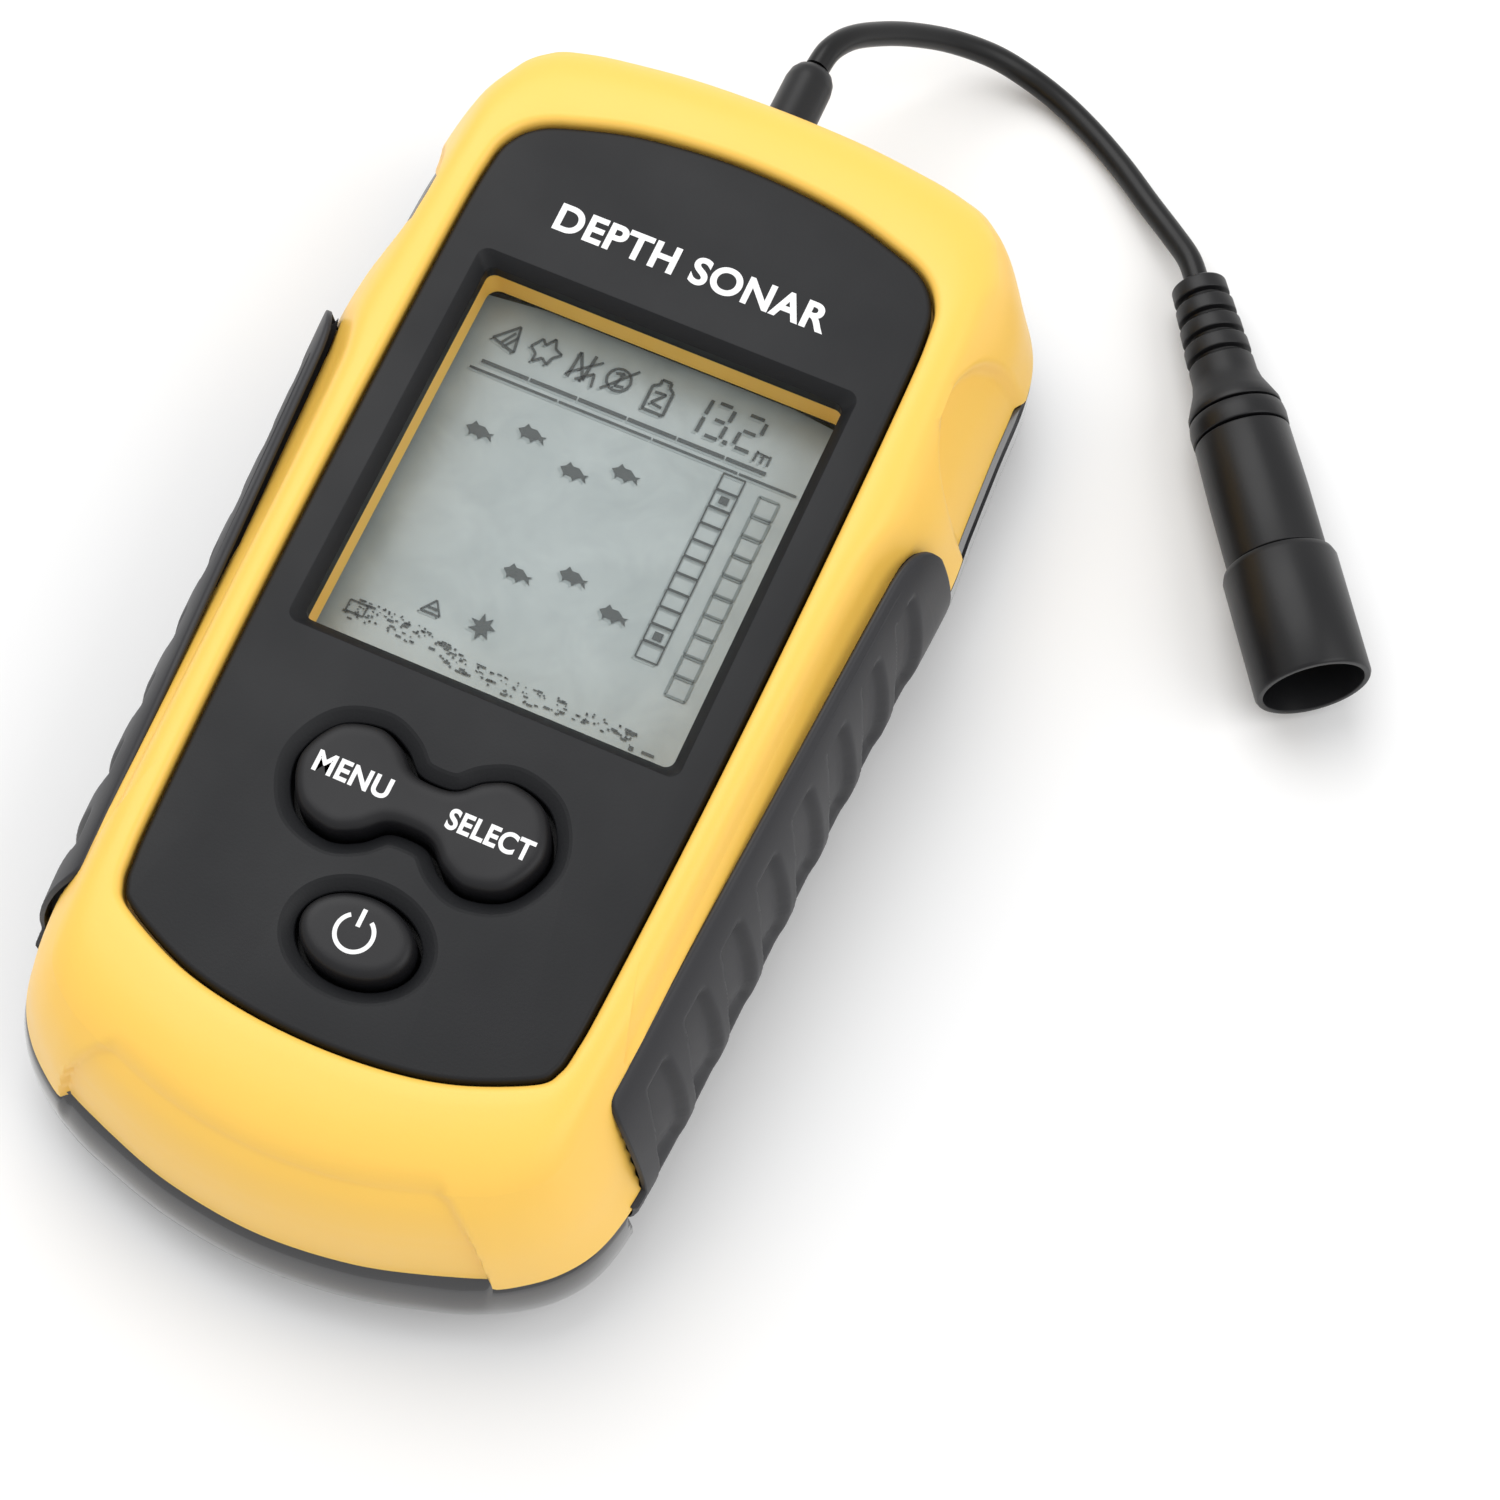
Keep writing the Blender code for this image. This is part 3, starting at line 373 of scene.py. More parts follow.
# %% [markdown]
# The connector is five turned pieces on one axis: a ribbed boot that flares to meet the
# shell, a thin ring, the body, the wide sleeve with its deep mouth, and the insert with
# its three gold pins. The axis runs from the cable's end towards the lower right and
# rises a little, because the sleeve is thicker than the boot and both lie on the table.

# %% Connector
AXIS_START = Vector((47.15, 76.8, 4.2))
heading, rise = math.radians(34.6), math.radians(4.0)
AXIS = Vector((math.sin(heading) * math.cos(rise), -math.cos(heading) * math.cos(rise), math.sin(rise)))
AXIS_FRAME = Matrix.Translation(AXIS_START) @ AXIS.to_track_quat("Z", "Y").to_matrix().to_4x4()


def on_axis(name, profile, finish, replaces, width=0.18, closed=False):
    """A turned piece with softened edges, laid on the connector's axis."""
    bm = spun(profile, 96, closed)
    soften(bm, width)
    bmesh.ops.transform(bm, matrix=AXIS_FRAME, verts=bm.verts)
    return piece(name, bm, finish, "case", replaces)


RIBS, RIB_PITCH, GROOVE = 4, 2.62, 0.75
boot_profile = [(0.0, 0.0), (2.2, 0.0), (2.9, 0.4)]
for rib in range(RIBS):
    radius = 3.15 + 0.17 * rib
    start = 0.4 + RIB_PITCH * rib
    boot_profile += [(radius, start + 0.2), (radius + 0.05, start + 1.9),
                     (radius - GROOVE, start + 2.0), (radius - GROOVE, start + 2.5)]
boot_profile += [(3.7, 11.0), (3.75, 12.8), (4.05, 14.2), (4.75, 15.8), (5.25, 17.0), (5.3, 17.6),
                 (0.0, 17.6)]
on_axis("socket_boot", boot_profile, PVC_BOOT, ["connector_boot"], 0.14)
on_axis("socket_ring", [(0.0, 17.9), (5.35, 17.9), (5.5, 18.9), (5.45, 20.4), (0.0, 20.4)],
        CONNECTOR_NYLON, ["connector_ring"])
on_axis("socket_body", [(0.0, 20.7), (5.4, 20.7), (5.55, 28.0), (5.55, 36.3), (5.2, 36.3),
                        (5.2, 39.9), (0.0, 39.9)], CONNECTOR_NYLON, ["connector_body"])
on_axis("socket_sleeve", [(5.5, 36.6), (6.1, 36.6), (6.4, 37.4), (6.4, 51.3), (6.2, 51.7), (5.55, 51.7)],
        CONNECTOR_NYLON, ["connector_sleeve"], 0.12, True)

# %% [markdown]
# ## The outlines
# Seen from above the case is a rounded coffin shape with shoulders at the lead end, hips in
# the middle and a round lower end. Half of the outline is given by a few points, mirrored,
# and run through a smooth curve. A lofted body is then one ring of that outline after
# another: the last ring's edges are extruded and moved to the next height.

# %% Outlines and lofts
CASE_HALF = [
    (0.0, 67.8), (10.0, 67.5), (18.0, 66.6), (23.0, 65.7), (27.0, 64.4), (30.6, 62.0), (33.5, 58.4),
    (35.2, 54.6), (35.9, 50.0), (36.1, 43.0), (36.5, 34.0), (36.9, 26.0), (36.0, 10.0), (35.2, -12.0),
    (34.5, -34.0), (33.9, -44.0), (33.2, -49.5), (31.9, -53.4), (29.6, -56.6), (26.6, -59.1),
    (23.6, -60.8), (18.0, -62.8), (10.0, -64.8), (0.0, -65.7),
]
BACK_HALF = CASE_HALF[:15] + [
    (34.3, -43.0), (33.9, -49.0), (32.7, -54.0), (30.3, -57.7), (26.8, -60.6), (22.4, -62.9),
    (18.0, -64.4), (11.6, -66.1), (5.5, -67.0), (0.0, -67.3),
]
PLATE_HALF = [
    (0.0, 56.5), (11.0, 55.6), (18.6, 53.6), (22.4, 51.9), (24.5, 49.3), (25.2, 46.0), (25.5, 38.0),
    (25.5, 15.0), (25.1, -11.0), (24.3, -33.0), (23.9, -38.6), (23.4, -41.2), (21.8, -43.1),
    (15.0, -46.1), (8.0, -47.6), (0.0, -48.1),
]
RING_POINTS = 800


def outline(half, count=RING_POINTS):
    """A closed smooth ring from its right half, from the lead end to the lower end."""
    whole = half + [(-x, y) for x, y in reversed(half[1:-1])]
    return evenly(through(whole, True, 12), True, count)


def normals(ring):
    """Outward normals of a clockwise ring."""
    found = []
    for index in range(len(ring)):
        along = ring[(index + 1) % len(ring)] - ring[index - 1]
        found.append(Vector((-along.y, along.x)).normalized())
    return found


def inset(ring, side, end=None):
    """Move a ring inwards, by one amount at the sides and another at the ends."""
    end = side if end is None else end
    return [point - normal * (side * normal.x ** 2 + end * normal.y ** 2)
            for point, normal in zip(ring, normals(ring))]


def at(ring, z):
    """The ring at a height."""
    return [Vector((point.x, point.y, z)) for point in ring]


def verts_of(grown):
    """The vertices among what an operator made."""
    return [item for item in grown if isinstance(item, bmesh.types.BMVert)]


def draw_out(bm, rows, closed):
    """Extrude a line of edges from row to row. Give back the first line and the last."""
    place_in_row = bm.verts.layers.int.new("place_in_row")
    verts = []
    for index, point in enumerate(rows[0]):
        vert = bm.verts.new(point)
        vert[place_in_row] = index
        verts.append(vert)
    pairs = ([(verts[-1], verts[0])] if closed else []) + list(zip(verts, verts[1:]))
    first = edges = [bm.edges.new(pair) for pair in pairs]
    for row in rows[1:]:
        grown = bmesh.ops.extrude_edge_only(bm, edges=edges)["geom"]
        fresh = set(verts_of(grown))
        edges = [item for item in grown if isinstance(item, bmesh.types.BMEdge)
                 and item.verts[0] in fresh and item.verts[1] in fresh]
        for vert in fresh:
            vert.co = row[vert[place_in_row]]
    return first, edges


def loft(rings, ends="caps"):
    """A body drawn from ring to ring, with its ends capped or its last ring joined to the first."""
    bm = bmesh.new()
    first, last = draw_out(bm, rings + ([rings[0]] if ends == "ring" else []), True)
    if ends == "caps":
        bmesh.ops.edgeloop_fill(bm, edges=first)
        bmesh.ops.edgeloop_fill(bm, edges=last)
    bmesh.ops.remove_doubles(bm, verts=bm.verts, dist=1e-4)
    bmesh.ops.recalc_face_normals(bm, faces=bm.faces)
    return bm


def rounded_box(width, height, radius, centre_y, count=RING_POINTS):
    """A ring round a rectangle with round corners, centred on the Y axis."""
    points = [Vector((0.0, height / 2))]
    for sx, sy, first in ((1, 1, 90), (1, -1, 0), (-1, -1, -90), (-1, 1, -180)):
        for step in range(9):
            angle = math.radians(first - 11.25 * step)
            points.append(Vector((sx * (width / 2 - radius) + radius * math.cos(angle),
                                  sy * (height / 2 - radius) + radius * math.sin(angle))))
    return [point + Vector((0.0, centre_y)) for point in evenly(points, True, count)]


def smooth(low, high, value):
    """0 below low, 1 above high and an S curve between."""
    share = min(max((value - low) / (high - low), 0.0), 1.0)
    return share * share * (3 - 2 * share)


CASE_LINE = outline(CASE_HALF)
print("case %.1f mm wide" % (2 * max(point.x for point in CASE_LINE)))

# %% [markdown]
# ## The front casing
# The yellow casing rises from the seam with a little draft, rolls over to a flat rim and
# drops into the recess for the face plate. The rim is narrow at the sides and long at the
# lower end, where it slopes down. Each row of LEVELS is one height, with how far the skin lies
# inside the outline at the side, at the lead end and at the lower end. Where a grip lies over
# the skin, the last two numbers draw it in: the same amount all over, and more the further
# out it is. A smooth curve runs through the rows. Each row of ROLL then says what share of
# the way to the lip of the recess a ring has come, and its height.

# %% Front casing: rings
PART_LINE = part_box("front_casing")[0].z / MM
RIM_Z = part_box("front_casing")[1].z / MM
POCKET = 2.9
LEVELS = [
    (PART_LINE, 0.0, 0.0, 0.0, POCKET, 0.0), (16.0, 1.1, 0.1, 0.5, POCKET, 0.0),
    (20.0, 2.2, 0.3, 1.4, POCKET, 0.0), (23.0, 3.3, 0.7, 2.6, 1.2, 0.9),
    (25.6, 4.5, 1.4, 4.2, -0.9, 2.0), (27.6, 5.6, 2.5, 6.2, -0.9, 0.6),
]
ROLL = [(0.12, 28.35), (0.24, 28.95), (0.38, 29.42), (0.54, 29.74), (0.7, 29.9), (0.85, 29.98), (1.0, 30.0)]
PLATE_GAP = 0.35
PLATE_LINE = outline(PLATE_HALF)
RECESS = inset(PLATE_LINE, -PLATE_GAP)
BEYOND_THE_CASE = 40.0


def grip_edge(y):
    """Half width of the line where the yellow casing meets the straight part of a grip."""
    return 32.5 + (y - 20.0) * 0.0655


def half_width(y):
    """Half width of the case at a height along it."""
    near = [point for point in CASE_LINE[:RING_POINTS // 2] if abs(point.y - y) < 1.6]
    return max(near, key=lambda point: -abs(point.y - y)).x


def grip_tail(y):
    """How far the lower end of a grip draws back from its straight edge, in an S curve."""
    return 6.7 * (1 - smooth(-47.2, -40.5, y))


def held(y, x=BEYOND_THE_CASE):
    """How far a place on the skin lies under the grips, from 0 to 1."""
    along = smooth(-48.6, -46.8, y) * (1 - smooth(19.0, 26.5, y))
    if y >= -38.0:
        return along
    return along * smooth(0.0, 0.9, abs(x) - grip_edge(y) - grip_tail(y))


def case_ring(side, lead_end, low_end, under=0.0, beside=0.0):
    """The case's outline moved in at the sides and the ends, and drawn in under the grips."""
    ring = []
    for point, normal in zip(CASE_LINE, normals(CASE_LINE)):
        end = lead_end if point.y > 0 else low_end
        moved = point - normal * (side * normal.x ** 2 + end * normal.y ** 2)
        share = max(abs(point.x) - grip_edge(point.y) - 3.9, 0.0) / 2.2
        moved.x -= math.copysign(held(point.y, moved.x) * (under + beside * share), moved.x)
        ring.append(moved)
    return ring


outer = [at(case_ring(*row[1:]), row[0]) for row in through([Vector(level) for level in LEVELS], False, 8)]
lip = inset(RECESS, -0.9)
top_ring = outer[-1]
for share, z in ROLL:
    outer.append([Vector((*point.to_2d().lerp(end, share), z)) for point, end in zip(top_ring, lip)])
print("front casing skin: %d rings" % len(outer))

# %% [markdown]
# Two kinds of hollow are pressed into that skin. At the lower end a wide scallop gives the
# thumb a place to push the battery door, and at each shoulder an oval scoop takes a finger.
# Both are smooth moves of the skin's points: the depth is worked out from the distance to
# the hollow's border, so the border is as crisp as the ramp is short.

# %% Front casing: scallop and scoops
CORNER = 2.0


def scallop_depth(point):
    """The hollow lies below a curved ridge, and between two edges that spread towards the seam."""
    x = abs(point.x)
    below = -58.9 + 0.0108 * x * x - point.y
    beside = (19.6 + 1.25 * (-56.6 - point.y) - x) / 1.6
    if below <= 0 or beside <= 0:
        return 0.0
    inside = min(below, beside)
    if max(below, beside) < CORNER:
        inside = max(CORNER - math.hypot(CORNER - below, CORNER - beside), 0.0)
    full = 0.8 + 0.4 * min(x / 20.0, 1.0) ** 2
    return full * smooth(0.0, 1.1, inside)


def scoop_depth(point):
    """The shoulder scoop is an oval that gets deeper towards the top."""
    away = math.hypot((abs(point.x) - 37.0) / 7.0, (point.y - 41.2) / 10.3)
    return (1.15 + 0.6 * smooth(14.0, 22.0, point.z)) * (1 - smooth(0.84, 1.0, away))


def hollowed(point):
    """A point of the skin pressed in: level at the steep foot, and downwards where the skin lies flat."""
    moved = point.copy()
    if point.y < -50:
        lean = min(max((29.5 - point.z) / 9.0, 0.0), 1.0)
        depth = scallop_depth(point)
        moved.y += depth * lean
        moved.z -= depth * (1 - lean) * 0.9
    if 26 < point.y < 52 and abs(point.x) > 26:
        depth = scoop_depth(point)
        moved.x -= math.copysign(depth * 0.85, point.x)
        moved.z -= depth * 0.5 * smooth(16.0, 26.0, point.z)
    return moved


outer = [[hollowed(point) for point in ring] for ring in outer]
print("scallop up to %.1f mm deep" % max(scallop_depth(point) for point in outer[0]))

# %% Front casing: recess, window collar and wall
WINDOW_Y, WINDOW_W, WINDOW_H = 13.6, 41.0, 43.9
collar_in = rounded_box(WINDOW_W + 0.4, WINDOW_H + 0.4, 1.4, WINDOW_Y)
collar_out = rounded_box(WINDOW_W + 3.0, WINDOW_H + 3.0, 2.4, WINDOW_Y)
SHELF, SHELF_UNDER, COLLAR_FOOT = 25.9, 23.9, 22.3
lip_rings = [at(inset(RECESS, -side), RIM_Z - drop) for side, drop in
             ((0.55, 0.08), (0.2, 0.3), (0.04, 0.62), (0.0, 1.0))]
collar_rings = [at(RECESS, SHELF), at(collar_in, SHELF), at(collar_in, COLLAR_FOOT),
                at(collar_out, COLLAR_FOOT), at(collar_out, SHELF_UNDER)]
wall_rings = [at(case_ring(7.4, 5.0, 7.4, 0.6), SHELF_UNDER), at(case_ring(4.6, 3.2, 4.6, 2.6), 20.0),
              at(case_ring(2.6, 2.4, 2.4, POCKET), 13.6), at(case_ring(1.4, 1.4, 1.4, POCKET), PART_LINE)]
front = loft(outer + lip_rings + collar_rings + wall_rings, "ring")
case_front = piece("case_front", front, YELLOW_ABS, "case", ["front_casing"], 38)

# %% [markdown]
# A silicone seal lies in the seam between the two casings. It follows the same outline, just
# inside the skin, so that it can't be seen from outside.

# %% Seal
seal_low, seal_high = (corner.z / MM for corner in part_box("casing_gasket"))
seal_rings = [at(case_ring(side, side, side, POCKET), z) for side, z in
              ((0.7, seal_low), (0.7, seal_high), (1.6, seal_high), (1.6, seal_low))]
seal = loft([[hollowed(point) for point in ring] for ring in seal_rings], "ring")
piece("seal_ring", seal, GREY_SILICONE, "case", ["casing_gasket"])

# %% [markdown]
# The keys and the lead come through the front casing. Their holes are cut with plugs of the
# same outlines, a little larger, so that the keys move freely.

# %% Holes for keys and lead
def ellipse(half_w, half_h, centre_y, count=96):
    """A ring round an ellipse, clockwise from its top."""
    return [Vector((half_w * math.sin(2 * math.pi * step / count),
                    centre_y + half_h * math.cos(2 * math.pi * step / count))) for step in range(count)]


ROCKER_Y, POWER_Y = -22.6, -37.2
ROCKER_RIGHT = [(0.0, 2.7), (2.4, 3.1), (4.6, 5.0), (7.6, 6.0), (11.6, 4.5), (13.6, 0.0), (11.6, -4.5),
                (7.6, -6.0), (4.6, -5.0), (2.4, -3.1), (0.0, -2.7)]
ROCKER_LINE = [point + Vector((0.0, ROCKER_Y)) for point in outline(ROCKER_RIGHT, 160)]
POWER_LINE = ellipse(6.1, 4.4, POWER_Y)


def cut(target, cutters, operation="DIFFERENCE"):
    """Apply one exact Boolean per cutter, and remove the cutter."""
    for bm in cutters:
        bmesh.ops.scale(bm, vec=(MM, MM, MM), verts=bm.verts)
        mesh = bpy.data.meshes.new("cutter")
        bm.to_mesh(mesh)
        bm.free()
        tool = bpy.data.objects.new("cutter", mesh)
        scene.collection.objects.link(tool)
        change = target.modifiers.new("change", "BOOLEAN")
        change.operation = operation
        change.solver = "EXACT"
        change.object = tool
        bpy.context.view_layer.update()
        graph = bpy.context.evaluated_depsgraph_get()
        made = bpy.data.meshes.new_from_object(target.evaluated_get(graph))
        target.modifiers.clear()
        target.data = made
        bpy.data.objects.remove(tool, do_unlink=True)
        bpy.data.meshes.remove(mesh)


LEAD_HOLE_RADIUS, KEY_CLEARANCE = 3.05, 1.5
lead_hole = bmesh.new()
bmesh.ops.create_cone(lead_hole, cap_ends=True, segments=48, radius1=LEAD_HOLE_RADIUS,
                      radius2=LEAD_HOLE_RADIUS, depth=14.0,
                      matrix=Matrix.Translation((0, 67.0, LEAD_HEIGHT)) @ Matrix.Rotation(math.pi / 2, 4, "X"))
key_holes = [loft([at(inset(line, -KEY_CLEARANCE), z) for z in (23.0, 27.0)])
             for line in (ROCKER_LINE, POWER_LINE)]
cut(case_front, [lead_hole] + key_holes)
print("front casing after cuts:", len(case_front.data.polygons), "faces")

# %% [markdown]
# ## The face plate
# The plate is a separate black moulding let into the rim. Its window has a sloped frame that leads down to the
# display, and a shallow dish surrounds each key. The dishes are cut with tapered plugs. The plate's outer edge
# is rounded by the first rings of its loft.

# %% Face plate
PLATE_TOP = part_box("faceplate")[1].z / MM
PLATE_FOOT = 26.2
plate_rings = [at(PLATE_LINE, PLATE_FOOT)]
for side, drop in ((0.0, 0.55), (0.06, 0.32), (0.2, 0.13), (0.4, 0.03), (0.62, 0.0)):
    plate_rings.append(at(inset(PLATE_LINE, side), PLATE_TOP - drop))
for wider, corner, z in ((2.5, 1.3, PLATE_TOP), (2.3, 1.2, PLATE_TOP - 0.06), (0.2, 1.1, 27.95),
                         (0.0, 1.0, 27.8), (0.0, 1.0, PLATE_FOOT)):
    plate_rings.append(at(rounded_box(WINDOW_W + wider, WINDOW_H + wider, corner, WINDOW_Y), z))
plate = piece("face_plate", loft(plate_rings, "ring"), PLATE_ABS, "case", ["faceplate"], 30)
DISH = [(0.45, 25.0), (0.45, PLATE_TOP - 0.75), (0.55, PLATE_TOP - 0.66), (1.7, PLATE_TOP - 0.12),
        (2.1, PLATE_TOP + 0.02), (2.1, PLATE_TOP + 1.0)]
cut(plate, [loft([at(inset(line, -wider), z) for wider, z in DISH]) for line in (ROCKER_LINE, POWER_LINE)])

# %% [markdown]
# ## The keys
# The rocker is one rubber key with two round lobes and a narrow waist, and the power key is
# an ellipse. Each rises from its hole with a little draft and has a rounded shoulder. They
# keep the flange and the stems that the CAD model gives them, and ride on their own bodies.

# %% Keys
KEY_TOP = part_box("power_key")[1].z / MM
FLANGE, FLANGE_LOW, FLANGE_HIGH = -0.9, 24.2, 25.2
KEY_SIDE = [(FLANGE, FLANGE_LOW), (FLANGE, FLANGE_HIGH), (0.0, FLANGE_HIGH), (0.0, 26.0), (0.1, 29.2),
            (0.18, KEY_TOP - 0.95), (0.3, KEY_TOP - 0.6), (0.52, KEY_TOP - 0.3), (0.82, KEY_TOP - 0.12),
            (1.2, KEY_TOP - 0.03), (1.6, KEY_TOP), (1.9, KEY_TOP)]


def rod(radius, low, high, centre, sides=40):
    """An upright round bar."""
    bm = bmesh.new()
    bmesh.ops.create_cone(bm, cap_ends=True, segments=sides, radius1=radius, radius2=radius, depth=high - low,
                          matrix=Matrix.Translation((*centre, (low + high) / 2)))
    return bm


def make_key(name, line, stems, body, node):
    """One key with its flange, its rounded shoulder and the stems that press the domes."""
    rings = [at(inset(line, side), z) for side, z in KEY_SIDE]
    made = piece(name, loft(rings), KEY_SILICONE, body, [node], 40)
    cut(made, [rod(2.2, 20.4, 24.6, stem, 32) for stem in stems], "UNION")


make_key("rocker_cap", ROCKER_LINE, [(-7.6, ROCKER_Y), (7.6, ROCKER_Y)], "rocker", "rocker_key")
make_key("power_cap", POWER_LINE, [(0.0, POWER_Y)], "power_button", "power_key")

# %% [markdown]
# ## The grips
# Each grip is a rubber skin moulded over the side of the case. Its section starts on the
# yellow shoulder, rolls over the widest line and tucks in below. Along its length run eight
# leaf-shaped hollows with slanted ridges between them, which keep a wet hand from slipping.
# A grip is an open sheet, extruded row by row along the case, and its hollows are part of
# each row's shape. Solidify then gives the sheet its thickness.

# %% Grip: section and hollows
GRIP_LOW, GRIP_HIGH = -47.6, 26.4
LEAF_FIRST, LEAF_PITCH, LEAVES = 21.0, 7.85, 8
ROLL_POWER = 1.3
WIDEST_T, WIDEST_Z, GRIP_TOP_Z, GRIP_FOOT_Z = 0.6, 13.0, 26.5, 5.4


def section(y, t):
    """A point across the grip at t, from 0 on the yellow shoulder to 1 at its lower edge."""
    start, widest = grip_edge(y), half_width(y)
    if t < WIDEST_T:
        turn = math.radians(90 * t / WIDEST_T)
        return Vector((start + (widest - start) * math.sin(turn) ** ROLL_POWER,
                       WIDEST_Z + (GRIP_TOP_Z - WIDEST_Z) * math.cos(turn) ** ROLL_POWER))
    turn = math.radians(90 * (t - WIDEST_T) / (1 - WIDEST_T))
    return Vector((widest - 2.4 * (1 - math.cos(turn)), WIDEST_Z - (WIDEST_Z - GRIP_FOOT_Z) * math.sin(turn)))


def grip_reach(y):
    """The part of the section that the grip takes up at a height: where it starts and ends."""
    start, end = 0.0, 1.0
    if y > 18.5:
        start = 0.40 * (1 - math.sqrt(max(1 - ((y - 18.5) / 8.0) ** 2, 0.0)))
    if y > 20.5:
        end = 1 - 0.56 * (1 - math.sqrt(max(1 - ((y - 20.5) / 6.0) ** 2, 0.0)))
    if y < -40.5:
        out = grip_tail(y) / (half_width(y) - grip_edge(y))
        start = WIDEST_T * math.degrees(math.asin(min(out, 1.0) ** (1 / ROLL_POWER))) / 90
    return start, min(end, 1.0)


def leaf_depth(y, across):
    """How deep the leaf-shaped hollows are, at a distance across the grip from its shoulder."""
    p = 2.5 * across / 3.3 if across < 3.3 else 2.5 + (across - 3.3) * 0.467
    index = round((LEAF_FIRST - y - 0.35 * (p - 2.5)) / LEAF_PITCH - 0.45)
    deepest = 0.0
    for leaf in (index - 1, index, index + 1):
        if not 0 <= leaf < LEAVES:
            continue
        along = LEAF_FIRST - LEAF_PITCH * leaf - y
        top = along - 0.45 * (p - 2.5)
        bottom = 4.6 + (p - 2.5 if p < 6.0 else 3.5 + 0.45 * (p - 6.0)) - along
        ramp = smooth(0.0, 1.3, top) * smooth(0.0, 0.5, bottom * 0.8) * smooth(2.5, 2.9, p)
        deepest = max(deepest, ramp * (0.8 + 0.12 * max(along, 0.0)))
    return deepest * (1 - smooth(8.8, 10.4, p))


print("leaf hollows up to %.2f mm deep" % max(leaf_depth(y / 10, 9.0) for y in range(-400, 200)))

# %% Grip: rows
STATIONS, ACROSS = 300, 84
EDGE_RADIUS, PROUD, SKIN_THICKNESS = 0.55, 0.5, 1.5


def grip_row(y):
    """One row of points across the grip, with its rounded edges and its hollows."""
    start, end = grip_reach(y)
    near_end = min(y - GRIP_LOW, GRIP_HIGH - y)
    fine = [step / 200 for step in range(201)]
    full = [section(y, t) for t in fine]
    run = [0.0]
    for one, two in zip(full, full[1:]):
        run.append(run[-1] + (two - one).length)
    row = []
    for step in range(ACROSS):
        share = step / (ACROSS - 1)
        t = start + (end - start) * (share - 0.06 * math.sin(2 * math.pi * share))
        here, ahead = section(y, max(t - 0.003, 0.0)), section(y, min(t + 0.003, 1.0))
        normal = Vector((here.y - ahead.y, ahead.x - here.x)).normalized()
        across = run[min(int(t * 200), 200)]
        edge = min(across - run[int(start * 200)], run[min(int(end * 200), 200)] - across, near_end)
        short = max(EDGE_RADIUS - max(edge, 0.0), 0.0)
        rounding = EDGE_RADIUS - math.sqrt(max(EDGE_RADIUS ** 2 - short ** 2, 0.0))
        lift = PROUD - rounding - leaf_depth(y, across)
        row.append(section(y, t) + normal * lift)
    return [Vector((point.x, y, point.y)) for point in row]


rows = []
for station in range(STATIONS + 1):
    share = station / STATIONS
    y = GRIP_LOW + (GRIP_HIGH - GRIP_LOW) * (share - 0.02 * math.sin(2 * math.pi * share))
    rows.append(grip_row(min(max(y, GRIP_LOW + 0.02), GRIP_HIGH - 0.02)))
for side, name, node in ((1, "grip_skin_right", "grip_right"), (-1, "grip_skin_left", "grip_left")):
    skin = bmesh.new()
    draw_out(skin, [[Vector((side * point.x, point.y, point.z)) for point in row] for row in rows], False)
    bmesh.ops.recalc_face_normals(skin, faces=skin.faces)
    if sum(face.normal.x * side for face in skin.faces) < 0:
        bmesh.ops.reverse_faces(skin, faces=skin.faces)
    bmesh.ops.solidify(skin, geom=skin.faces[:], thickness=SKIN_THICKNESS)
    piece(name, skin, GRIP_ELASTOMER, "case", [node], 50)

# %% [markdown]
# ## Printed legends
# The words are screen printed, so they are flat shapes a few hundredths of a millimetre
# thick on top of the plate and the keys. Each is a text object, made heavier with a small
# offset, turned into a mesh and stretched to the height and width that the print has. The
# power key has the usual sign: an open ring and a bar.

# %% Legends
def legend(name, words, width, height, centre, z, body):
    """Words in white ink on a surface at height z."""
    curve = bpy.data.curves.new(name, "FONT")
    curve.body = words
    curve.extrude = 0.01
    curve.offset = 0.03
    curve.space_character = 1.06
    holder = bpy.data.objects.new("holder", curve)
    scene.collection.objects.link(holder)
    bpy.context.view_layer.update()
    graph = bpy.context.evaluated_depsgraph_get()
    mesh = bpy.data.meshes.new_from_object(holder.evaluated_get(graph))
    bpy.data.objects.remove(holder, do_unlink=True)
    bm = bmesh.new()
    bm.from_mesh(mesh)
    bmesh.ops.remove_doubles(bm, verts=bm.verts, dist=1e-5)
    low = Vector([min(vert.co[axis] for vert in bm.verts) for axis in range(3)])
    high = Vector([max(vert.co[axis] for vert in bm.verts) for axis in range(3)])
    fit = Vector((width / (high.x - low.x), height / (high.y - low.y), 0.04 / (high.z - low.z)))
    bmesh.ops.translate(bm, vec=-(low + high) / 2, verts=bm.verts)
    bmesh.ops.scale(bm, vec=fit, verts=bm.verts)
    bmesh.ops.translate(bm, vec=(*centre, z + 0.005), verts=bm.verts)
    piece(name, bm, WHITE_INK, body)


legend("legend_title", "DEPTH SONAR", 31.2, 3.35, (-0.3, 43.2), PLATE_TOP, "case")
legend("legend_menu", "MENU", 8.2, 2.3, (-7.5, ROCKER_Y + 0.1), KEY_TOP, "rocker")
legend("legend_select", "SELECT", 9.2, 2.3, (7.6, ROCKER_Y - 0.1), KEY_TOP, "rocker")

